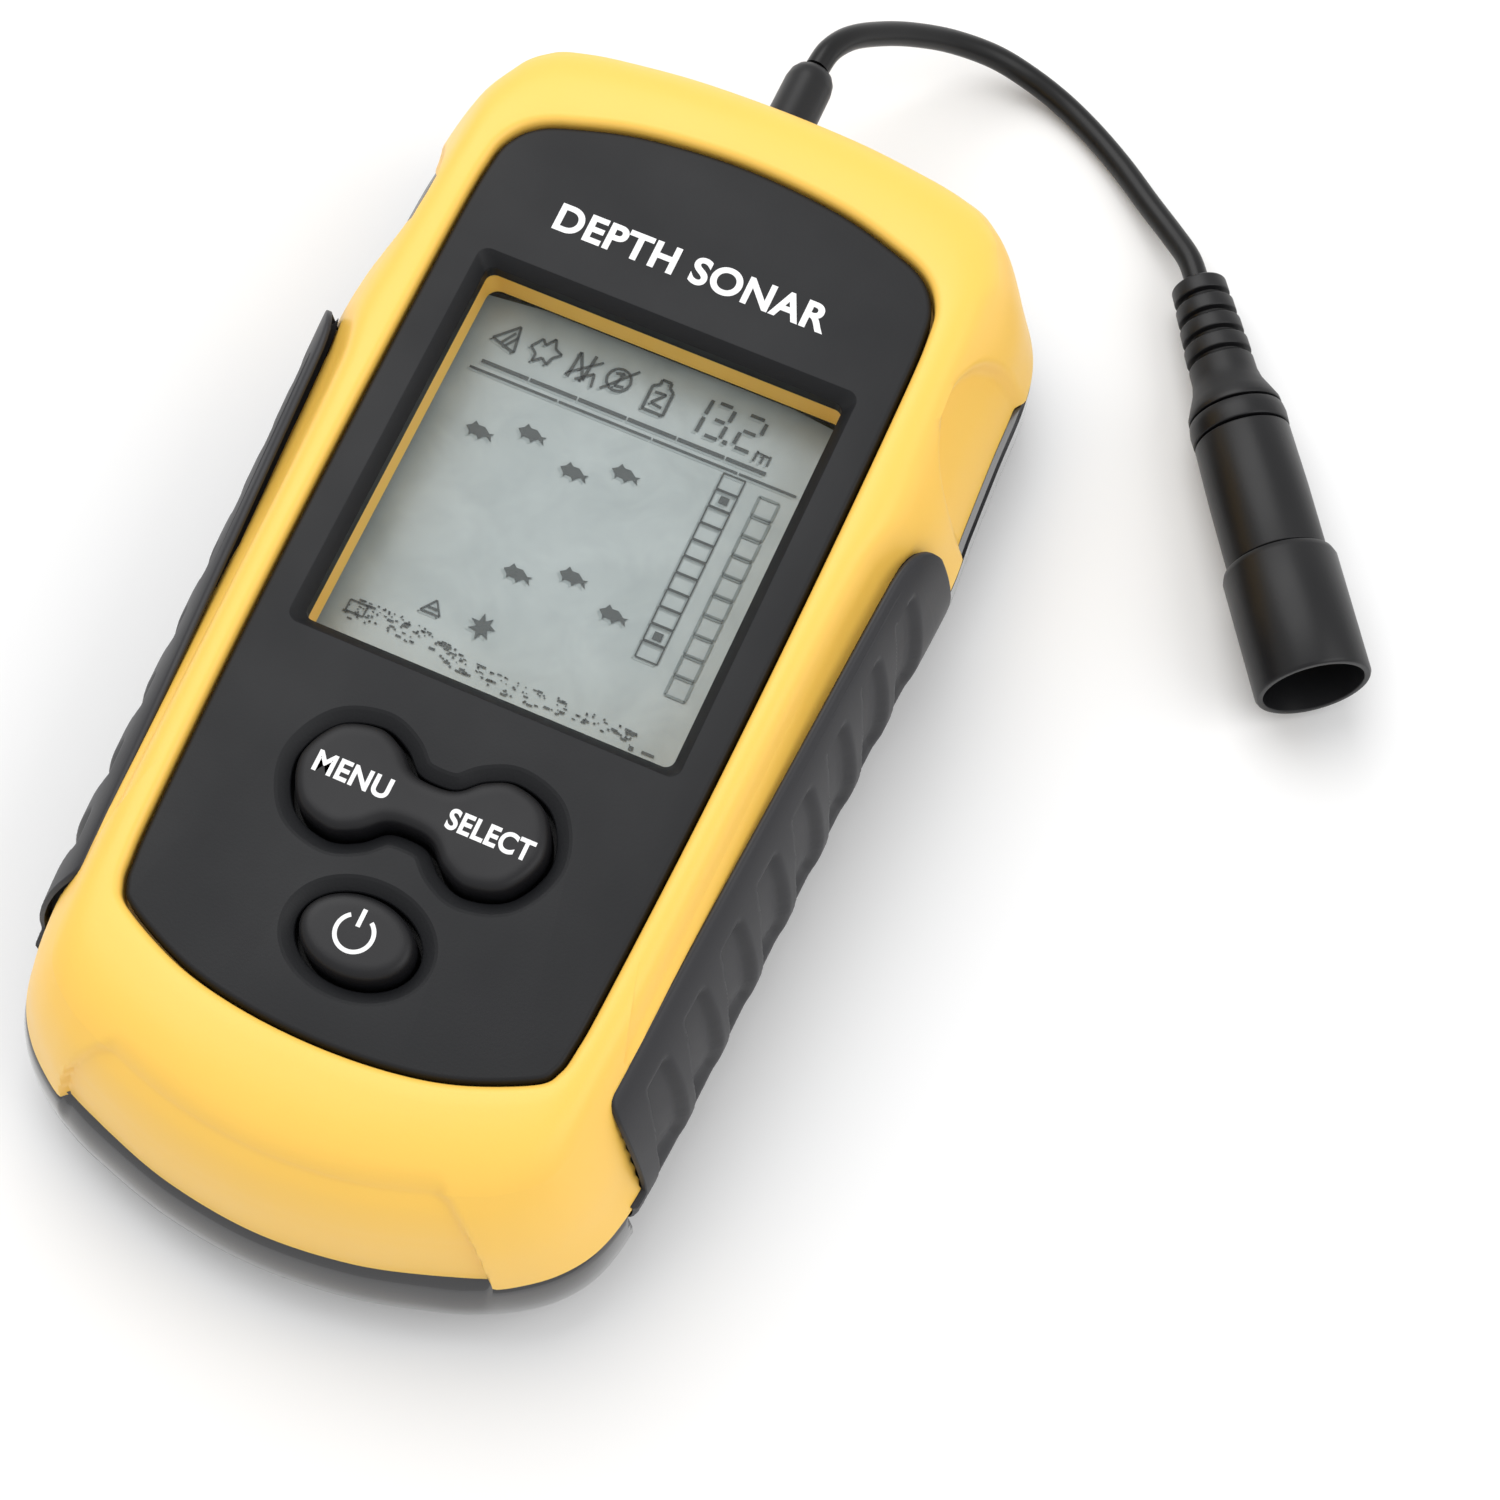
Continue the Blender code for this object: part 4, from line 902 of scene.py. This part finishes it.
# %% Power symbol
ARC_STEPS, RING_OUT, RING_IN, INK = 40, 2.15, 1.7, 0.03
symbol = bmesh.new()
arc = []
for step in range(ARC_STEPS + 1):
    angle = math.radians(35 + 290 * step / ARC_STEPS)
    arc.append(Vector((math.sin(angle), math.cos(angle), 0.0)))
far = [symbol.verts.new(point * RING_OUT) for point in arc]
near = [symbol.verts.new(point * RING_IN) for point in arc]
for step in range(ARC_STEPS):
    symbol.faces.new((far[step], near[step], near[step + 1], far[step + 1]))
bmesh.ops.recalc_face_normals(symbol, faces=symbol.faces)
grown = bmesh.ops.extrude_face_region(symbol, geom=symbol.faces[:])["geom"]
bmesh.ops.translate(symbol, vec=(0, 0, INK), verts=verts_of(grown))
bmesh.ops.create_cube(symbol, size=1.0,
                      matrix=Matrix.Translation((0, 1.65, INK / 2)) @ Matrix.Diagonal((0.46, 1.9, INK, 1)))
bmesh.ops.translate(symbol, vec=(-0.2, POWER_Y + 0.1, KEY_TOP - 0.005), verts=symbol.verts)
bmesh.ops.recalc_face_normals(symbol, faces=symbol.faces)
piece("legend_power", symbol, WHITE_INK, "power_button")

# %% [markdown]
# ## The back casing
# The back casing comes from a polished tool. It swells a little beyond the yellow casing at
# the lower end, turns under with a round edge and stands on a flat base. A box of ribs
# inside it holds the four cells, and a shallow step in the base takes the sliding door.

# %% Back casing
BACK_LINE = outline(BACK_HALF)
BACK_TOP = 12.0


def back_ring(inward, share=0.0, under=0.0):
    """A ring of the back casing, moved in and drawn part of the way to the seam's line."""
    ring = []
    for low, high, normal in zip(BACK_LINE, CASE_LINE, normals(BACK_LINE)):
        moved = low.lerp(high, share) - normal * inward
        moved.x -= math.copysign(held(moved.y) * under, moved.x)
        if high.y < -50:
            moved.y += share * scallop_depth(high)
        ring.append(moved)
    return ring


# Each row: how far inwards, the share of the way to the seam's line, the pocket under the
# grips, and the height. The rows go up the outside from the base and down the inside.
BACK_LEVELS = [
    (5.4, 0.0, 0.9, 0.0), (4.3, 0.0, 1.1, 0.14), (3.1, 0.0, 1.4, 0.6), (2.0, 0.0, 1.8, 1.5),
    (1.0, 0.0, 2.1, 3.0), (0.45, 0.0, 2.5, 4.4), (0.2, 0.0, 3.0, 5.4), (0.0, 0.0, 3.2, 7.0),
    (0.0, 0.14, 3.2, 8.6), (0.0, 0.36, 3.2, 10.0), (0.0, 0.64, 3.2, 11.0), (0.0, 0.86, 3.2, 11.6),
    (0.35, 1.0, 3.2, BACK_TOP), (1.9, 1.0, POCKET, BACK_TOP), (2.1, 0.6, POCKET, 7.0),
    (3.4, 0.2, 2.4, 4.2), (7.6, 0.0, 1.6, 2.3),
]
back = loft([at(back_ring(inward, share, under), z) for inward, share, under, z in BACK_LEVELS])
case_back = piece("case_back", back, BACK_ABS, "case", ["back_casing"], 38)


def block(low, high):
    """A rectangular block between two corners."""
    bm = bmesh.new()
    middle = (Vector(low) + Vector(high)) / 2
    size = Vector(high) - Vector(low)
    bmesh.ops.create_cube(bm, size=1.0, matrix=Matrix.Translation(middle) @ Matrix.Diagonal((*size, 1.0)))
    return bm


BAY_HALF_W, BAY_LOW, BAY_HIGH, BAY_TOP = 21.8, -54.6, -5.2, 14.1
DOOR_HALF_W, RAIL, DOOR_HIGH, DOOR_SEAT = 23.2, 24.8, -1.2, 2.3
SCREW_PLACES = [(-27.0, 52.0), (27.0, 52.0), (-27.0, -48.0), (27.0, -48.0)]
WALL, GAP, BELOW, PAST_THE_END = 1.3, 0.3, -1.0, -80.0
bay_walls = block((-BAY_HALF_W - WALL, BAY_LOW - WALL, 1.0), (BAY_HALF_W + WALL, BAY_HIGH + WALL, 15.2))
door_frame = block((-26.2, -57.6, 1.0), (26.2, 1.4, 3.6))
cut(case_back, [bay_walls, door_frame] + [rod(3.5, 1.5, BACK_TOP, spot) for spot in SCREW_PLACES], "UNION")
bay = block((-BAY_HALF_W, BAY_LOW, BELOW), (BAY_HALF_W, BAY_HIGH, BAY_TOP))
door_rails = block((-RAIL, PAST_THE_END, 0.7), (RAIL, DOOR_HIGH + GAP, DOOR_SEAT))
door_step = block((-DOOR_HALF_W - GAP, PAST_THE_END, BELOW), (DOOR_HALF_W + GAP, DOOR_HIGH + GAP, DOOR_SEAT))
cut(case_back, [bay, door_rails, door_step] + [rod(1.6, BELOW, 14.0, spot) for spot in SCREW_PLACES]
    + [rod(2.7, BELOW, 3.0, spot) for spot in SCREW_PLACES])
print("back casing after cuts:", len(case_back.data.polygons), "faces")

# %% [markdown]
# The door has seven short ridges for the thumb, longest in the middle. They ride on the door.

# %% Door ridges
RIDGES, RIDGE_PITCH = 7, 2.2
ridges = bmesh.new()
for step in range(RIDGES):
    y = -38.0 - RIDGE_PITCH * step
    length = 22.0 - 1.8 * abs(step - RIDGES // 2)
    ridge = loft([at(rounded_box(length - shorter, width, corner, y, 40), z) for shorter, width, corner, z in
                  ((0.0, 0.9, 0.44, 0.5), (0.0, 0.8, 0.4, 0.22), (0.3, 0.5, 0.25, 0.1))])
    shape = bpy.data.meshes.new("ridge")
    ridge.to_mesh(shape)
    ridge.free()
    ridges.from_mesh(shape)
    bpy.data.meshes.remove(shape)
bmesh.ops.recalc_face_normals(ridges, faces=ridges.faces)
piece("door_ridges", ridges, BACK_ABS, "door")

# %% [markdown]
# ## The display
# The segments are flat shapes just above the display glass. Each stands over its own faint
# shadow, because the reflector lies a fraction of a millimetre below the liquid crystal.
# The picture is a row of signs, the depth in digits, a double rule, seven fish, two columns
# of cells and a speckled sea bed. All of it is laid out in millimetres on the display.

# %% Shapes for the display
def bar(start, end, width):
    """The four corners of a straight stroke."""
    start, end = Vector(start), Vector(end)
    side = (end - start).normalized().orthogonal() * width / 2
    return [start + side, end + side, end - side, start - side]


def path(points, width, closed=False):
    """Strokes from point to point."""
    points = points + points[:1] if closed else points
    return [bar(one, two, width) for one, two in zip(points, points[1:])]


def placed(shape, x, y):
    return [Vector(point) + Vector((x, y)) for point in shape]


def printed(name, shapes, z, finish, shift=(0.0, 0.0)):
    """Flat shapes at one height, as thin prisms."""
    bm = bmesh.new()
    for shape in shapes:
        bm.faces.new([bm.verts.new((point[0] + shift[0], point[1] + shift[1], z)) for point in shape])
    for face in bm.faces:
        if face.normal.z > 0:
            face.normal_flip()
    grown = bmesh.ops.extrude_face_region(bm, geom=bm.faces[:], use_keep_orig=True)["geom"]
    bmesh.ops.translate(bm, vec=(0, 0, 0.02), verts=verts_of(grown))
    bmesh.ops.recalc_face_normals(bm, faces=bm.faces)
    piece(name, bm, finish, "case")


FISH = [(-1.65, 0.05), (-1.1, 0.42), (-0.85, 0.95), (-0.4, 0.58), (0.3, 0.62), (0.75, 0.32), (1.05, 0.08),
        (1.6, 0.2), (1.3, -0.12), (1.62, -0.75), (0.85, -0.32), (0.45, -0.6), (0.2, -0.98), (-0.1, -0.62),
        (-0.75, -0.58), (-0.95, -0.9), (-1.1, -0.45)]
SHOAL = [(-15.0, 20.6), (-9.75, 22.5), (-3.8, 20.25), (1.3, 22.25), (-4.3, 7.3), (1.2, 9.3), (6.8, 7.1)]
WEED = [(-1.6, 0.5), (-0.7, 0.5), (-0.5, 1.5), (-0.05, 0.7), (0.6, 1.2), (0.5, 0.5), (1.3, 0.1), (0.5, -0.2),
        (0.9, -1.1), (0.1, -0.8), (-0.3, -1.6), (-0.6, -0.7), (-1.5, -0.6), (-0.8, -0.1)]
# Each row of STROKES is a width and the lines of points that are drawn with it.
STROKES = [
    # The signs: a boat, a crossed sign, a crossed ring and the mark in the battery.
    (0.3, [[(-18.5, 31.2), (-15.7, 30.4), (-16.2, 33.5), (-18.5, 31.2)], [(-17.4, 31.0), (-16.4, 32.6)],
           [(-16.9, 30.8), (-15.9, 32.2)], [(-4.6, 32.6), (-3.7, 32.9), (-4.2, 31.2), (-3.2, 31.4)]]),
    (0.36, [[(-9.3, 30.2), (-9.0, 33.4), (-7.6, 30.4), (-7.3, 33.6)]]),
    (0.26, [[(-9.5, 30.6), (-6.3, 33.2)]]),
    (0.28, [[(-8.4, 30.2), (-6.7, 31.6), (-6.4, 30.0)], [(-5.5, 30.3), (-2.3, 33.8)]]),
    (0.32, [[(0.1, 32.3), (1.4, 32.4), (0.2, 31.0), (1.5, 30.8)]]),
    # The depth: upright segments, level segments, the point, the unit.
    (0.42, [[(6.1, 32.1), (6.25, 33.9)], [(6.0, 29.8), (6.1, 31.7)], [(8.8, 32.2), (8.9, 33.6)],
            [(8.65, 30.1), (8.75, 31.6)], [(12.5, 32.2), (12.6, 33.6)], [(10.25, 30.1), (10.35, 31.6)]]),
    (0.4, [[(7.1, 33.9), (8.5, 33.9)], [(7.3, 31.9), (8.4, 31.9)], [(7.0, 29.8), (8.4, 29.8)],
           [(10.6, 33.9), (12.2, 33.9)], [(10.6, 31.9), (12.0, 31.9)], [(10.5, 29.8), (12.1, 29.8)]]),
    (0.5, [[(9.3, 29.6), (9.3, 30.1)]]),
    (0.24, [[(12.9, 29.1), (13.0, 30.4)], [(13.7, 29.1), (13.8, 30.2)], [(14.5, 29.1), (14.5, 30.3)]]),
    (0.22, [[(13.0, 30.2), (14.4, 30.1)]]),
    # The mark in the buoy, and the two filled cells of the scale.
    (0.3, [[(-11.3, 0.2), (-10.2, 0.2)]]),
    (0.9, [[(11.5, 23.6), (12.5, 23.6)]]),
    (0.95, [[(11.5, 6.75), (12.5, 6.75)]]),
]
# Closed lines: the fish sign, the battery and the buoy.
LOOPS = [
    (0.3, [(-14.3, 31.9), (-13.4, 33.2), (-12.9, 32.6), (-12.1, 33.7), (-11.7, 32.6), (-10.8, 32.2),
           (-11.6, 31.5), (-11.9, 30.5), (-12.6, 31.1), (-13.5, 30.3), (-13.5, 31.3)]),
    (0.34, [(-0.4, 30.0), (2.0, 30.0), (2.0, 32.9), (1.4, 33.3), (1.4, 33.9), (0.3, 33.9), (0.3, 33.3),
            (-0.4, 32.9)]),
    (0.22, [(-11.9, -0.4), (-9.7, -0.4), (-10.7, 1.2)]),
]
# The double rule has small gaps between its segments.
UPPER_RULE = [(-18.4, -12.9), (-12.7, -7.2), (-7.0, -1.4), (-1.2, 4.4), (4.6, 10.0), (10.2, 14.8)]
LOWER_RULE = [(-19.3, -9.0), (-8.8, 2.0), (2.2, 12.0), (12.2, 18.8)]

# %% Laying the display out
ink = [placed(FISH, *spot) for spot in SHOAL] + [placed(WEED, -5.0, 0.4)]
for width, lines in STROKES:
    for points in lines:
        ink += path(points, width)
for width, points in LOOPS:
    ink += path(points, width, True)
turns = [math.radians(30 * step) for step in range(12)]
ink += path([(-4.0 + 1.35 * math.cos(turn), 32.0 + 1.35 * math.sin(turn)) for turn in turns], 0.3, True)
for rule, y, width in ((UPPER_RULE, 28.2, 0.45), (LOWER_RULE, 27.1, 0.28)):
    ink += [bar((start, y), (end, y), width) for start, end in rule]
# Two columns of cells. The second one is faint.
faint_cells = []
for shapes, cells, top, pitch, left, right, tall, width in ((ink, 11, 26.6, 2.08, 10.7, 13.2, 1.95, 0.17),
                                                            (faint_cells, 10, 25.6, 2.46, 15.25, 17.5, 2.25, 0.3)):
    for cell in range(cells):
        high = top - pitch * cell
        low = high - tall
        shapes += path([(left, high), (right, high), (right, low), (left, low)], width, True)
print("display shapes:", len(ink) + len(faint_cells))

# %% Sea bed and display pieces
DOTS, LONG_DOTS = 210, 0.3
random.seed(7)
bed = []
for dot in range(DOTS):
    along = random.random()
    x = -19.0 + 34.0 * along
    crest = -2.0 - 2.3 * along + 0.5 * math.sin(9.0 * along)
    y = crest - 2.2 * random.random() ** 1.4 * (1.15 - 0.5 * along)
    size = 0.12 + 0.14 * random.random()
    half = 1.4 * size if random.random() < LONG_DOTS else size / 2
    bed.append(bar((x - half, y), (x + half, y), size))
bed += path([(-19.0, -2.3), (-17.0, -2.3), (-17.0, -3.6), (-19.0, -3.6)], 0.2, True)
bed += [bar((14.3, -5.6), (14.8, -5.6), 0.5), bar((15.7, -5.5), (17.1, -5.5), 0.3)]
INK_Z, SHADE_Z, SHADE_SHIFT = 20.62, 20.53, (-0.22, -0.28)
printed("lcd_segments", ink + bed, INK_Z, LCD_INK)
printed("lcd_segments_faded", faint_cells, INK_Z, LCD_FAINT)
printed("lcd_shadows", ink, SHADE_Z, LCD_SHADE, SHADE_SHIFT)

# %% [markdown]
# ## Finishes for the CAD solids
# The solids whose shape is already right stay as they are. Each gets a finish by the name
# of its material slot. The circuit board has a green solder mask over its tracks, the cells
# have a printed sleeve with a copper-coloured end, and the metal parts are brushed.

# %% Inner finishes
def metal(name, colour, roughness, streak_mm):
    """Bare or plated metal with faint streaks along Y."""
    made, tree, output, place = blank(name)
    stretch = add(tree, "ShaderNodeMapping", {"Scale": (1.0, 0.12, 1.0)}, {"Vector": place})
    streaks = add(tree, "ShaderNodeTexNoise", {"Scale": scale_for(streak_mm), "Detail": 3.0},
                  {"Vector": stretch.outputs[0]})
    shine = add(tree, "ShaderNodeMapRange", {"To Min": roughness - 0.08, "To Max": roughness + 0.1},
                {"Value": streaks.outputs["Fac"]})
    surface = add(tree, "ShaderNodeBsdfPrincipled", {"Base Color": linear(colour), "Metallic": 1.0},
                  {"Roughness": shine.outputs[0]})
    tree.links.new(surface.outputs["BSDF"], output)
    return made


def banded(name, first, second, edge_mm, axis, roughness):
    """Two colours that meet at one height along an axis, on a smooth sleeve."""
    made, tree, output, place = blank(name)
    parts = add(tree, "ShaderNodeSeparateXYZ", None, {0: place})
    above = add(tree, "ShaderNodeMath", {"operation": "GREATER_THAN", 1: edge_mm * MM},
                {0: parts.outputs[axis]})
    haze = add(tree, "ShaderNodeTexNoise", {"Scale": scale_for(3.0), "Detail": 3.0}, {"Vector": place})
    shine = add(tree, "ShaderNodeMapRange", {"To Min": roughness - 0.05, "To Max": roughness + 0.08},
                {"Value": haze.outputs["Fac"]})
    tint = add(tree, "ShaderNodeMix", {"data_type": "RGBA", 6: linear(first), 7: linear(second)},
               {0: above.outputs[0]})
    surface = add(tree, "ShaderNodeBsdfPrincipled", {"IOR": 1.5}, {"Base Color": tint.outputs[2],
                                                                  "Roughness": shine.outputs[0]})
    tree.links.new(surface.outputs["BSDF"], output)
    return made


def solder_mask(name):
    """Green lacquer, lighter over the copper tracks that run under it."""
    made, tree, output, place = blank(name)
    tracks = add(tree, "ShaderNodeTexVoronoi",
                 {"distance": "CHEBYCHEV", "feature": "F1", "Scale": scale_for(2.4)}, {"Vector": place})
    ramp = add(tree, "ShaderNodeMapRange", {"From Min": 0.40, "From Max": 0.46},
               {"Value": tracks.outputs["Distance"]})
    tint = add(tree, "ShaderNodeMix", {"data_type": "RGBA", 6: linear("14592F"), 7: linear("2C7D45")},
               {0: ramp.outputs[0]})
    relief = add(tree, "ShaderNodeBump", {"Strength": 0.5, "Distance": 0.03 * MM}, {"Height": ramp.outputs[0]})
    surface = add(tree, "ShaderNodeBsdfPrincipled", {"Roughness": 0.3, "IOR": 1.5},
                  {"Base Color": tint.outputs[2], "Normal": relief.outputs["Normal"]})
    tree.links.new(surface.outputs["BSDF"], output)
    return made


# The finish for each material slot of the CAD solids, by the slot's name.
FINISHES = {
    "yellow_case": YELLOW_ABS, "black_case": BACK_ABS, "faceplate": PLATE_ABS, "key_rubber": KEY_SILICONE,
    "grip_rubber": GRIP_ELASTOMER, "lead_rubber": PVC_JACKET, "connector_plastic": CONNECTOR_NYLON,
    "seal": GREY_SILICONE, "clear_window": ACRYLIC, "display": LCD_GLASS,
    # The light guide is milky polycarbonate.
    "diffuser": cloudy("polycarbonate_milky", "E4E8E6", "F2F4F2", 0.4, 5.0),
    "circuit_board": solder_mask("fibreglass_solder_mask"),
    # Chips and the transformer are cast in black epoxy.
    "component": moulded("epoxy_moulded", "18181A", 0.45, 0.2, 0.006),
    # The cells' printed sleeves change colour towards one end.
    "cell": banded("cell_sleeve_printed", "23262B", "B5703A", 13.0, "Y", 0.3),
    # Screws, springs and battery contacts are nickel-plated steel, and the pins gold-plated brass.
    "plated_steel": metal("steel_nickel_plated", "C9C8C4", 0.3, 0.6),
    "gold_pin": metal("brass_gold_plated", "E6BD62", 0.22, 0.3),
    # The pad on the door is cut from sheet foam.
    "foam": moulded("foam_cut_sheet", "3A3A3C", 0.9, 0.5, 0.25, tone=0.12),
}
dressed = 0
for item in scene.objects:
    if item.type == "MESH":
        for holder in item.material_slots:
            if holder.material and holder.material.name in FINISHES:
                holder.material = FINISHES[holder.material.name]
                dressed += 1
print("CAD solids dressed:", dressed)

# %% [markdown]
# ## Stage and light
# The device lies on a wide pale floor. Most of the light comes evenly from white surroundings,
# which is what makes the shadow so soft. Two large soft boxes give it a direction: the key
# light stands past the lead end on the left, and a weaker one fills in from the right.

# %% Stage
FLOOR_HALF_SIZE, SURROUNDINGS = 3.0, 0.74
floor = bmesh.new()
bmesh.ops.create_grid(floor, x_segments=1, y_segments=1, size=FLOOR_HALF_SIZE)
floor_mesh = bpy.data.meshes.new("floor")
floor.to_mesh(floor_mesh)
floor.free()
# Matt painted board, with a very slight drift of tone.
floor_mesh.materials.append(cloudy("pale_floor", "F4F4F4", "F6F6F6", 0.7, 400.0))
floor_piece = bpy.data.objects.new("floor", floor_mesh)
scene.collection.objects.link(floor_piece)

world = bpy.data.worlds.new("studio")
world.use_nodes = True
scene.world = world
background = world.node_tree.nodes["Background"]
background.inputs["Color"].default_value = (1.0, 1.0, 1.0, 1.0)
background.inputs["Strength"].default_value = SURROUNDINGS


def softbox(name, place, width, height, watts):
    """A rectangular lamp that faces the device."""
    lamp = bpy.data.lights.new(name, "AREA")
    lamp.shape = "RECTANGLE"
    lamp.size = width
    lamp.size_y = height
    lamp.energy = watts
    made = bpy.data.objects.new(name, lamp)
    made.location = place
    made.rotation_euler = (-Vector(place)).to_track_quat("-Z", "Y").to_euler()
    scene.collection.objects.link(made)


softbox("key_light", (-0.35, 0.35, 0.8), 0.8, 0.8, 4.6)
softbox("fill_light", (0.7, 0.1, 0.7), 0.8, 0.6, 2.4)
scene.view_settings.view_transform = "Standard"
scene.view_settings.look = "None"
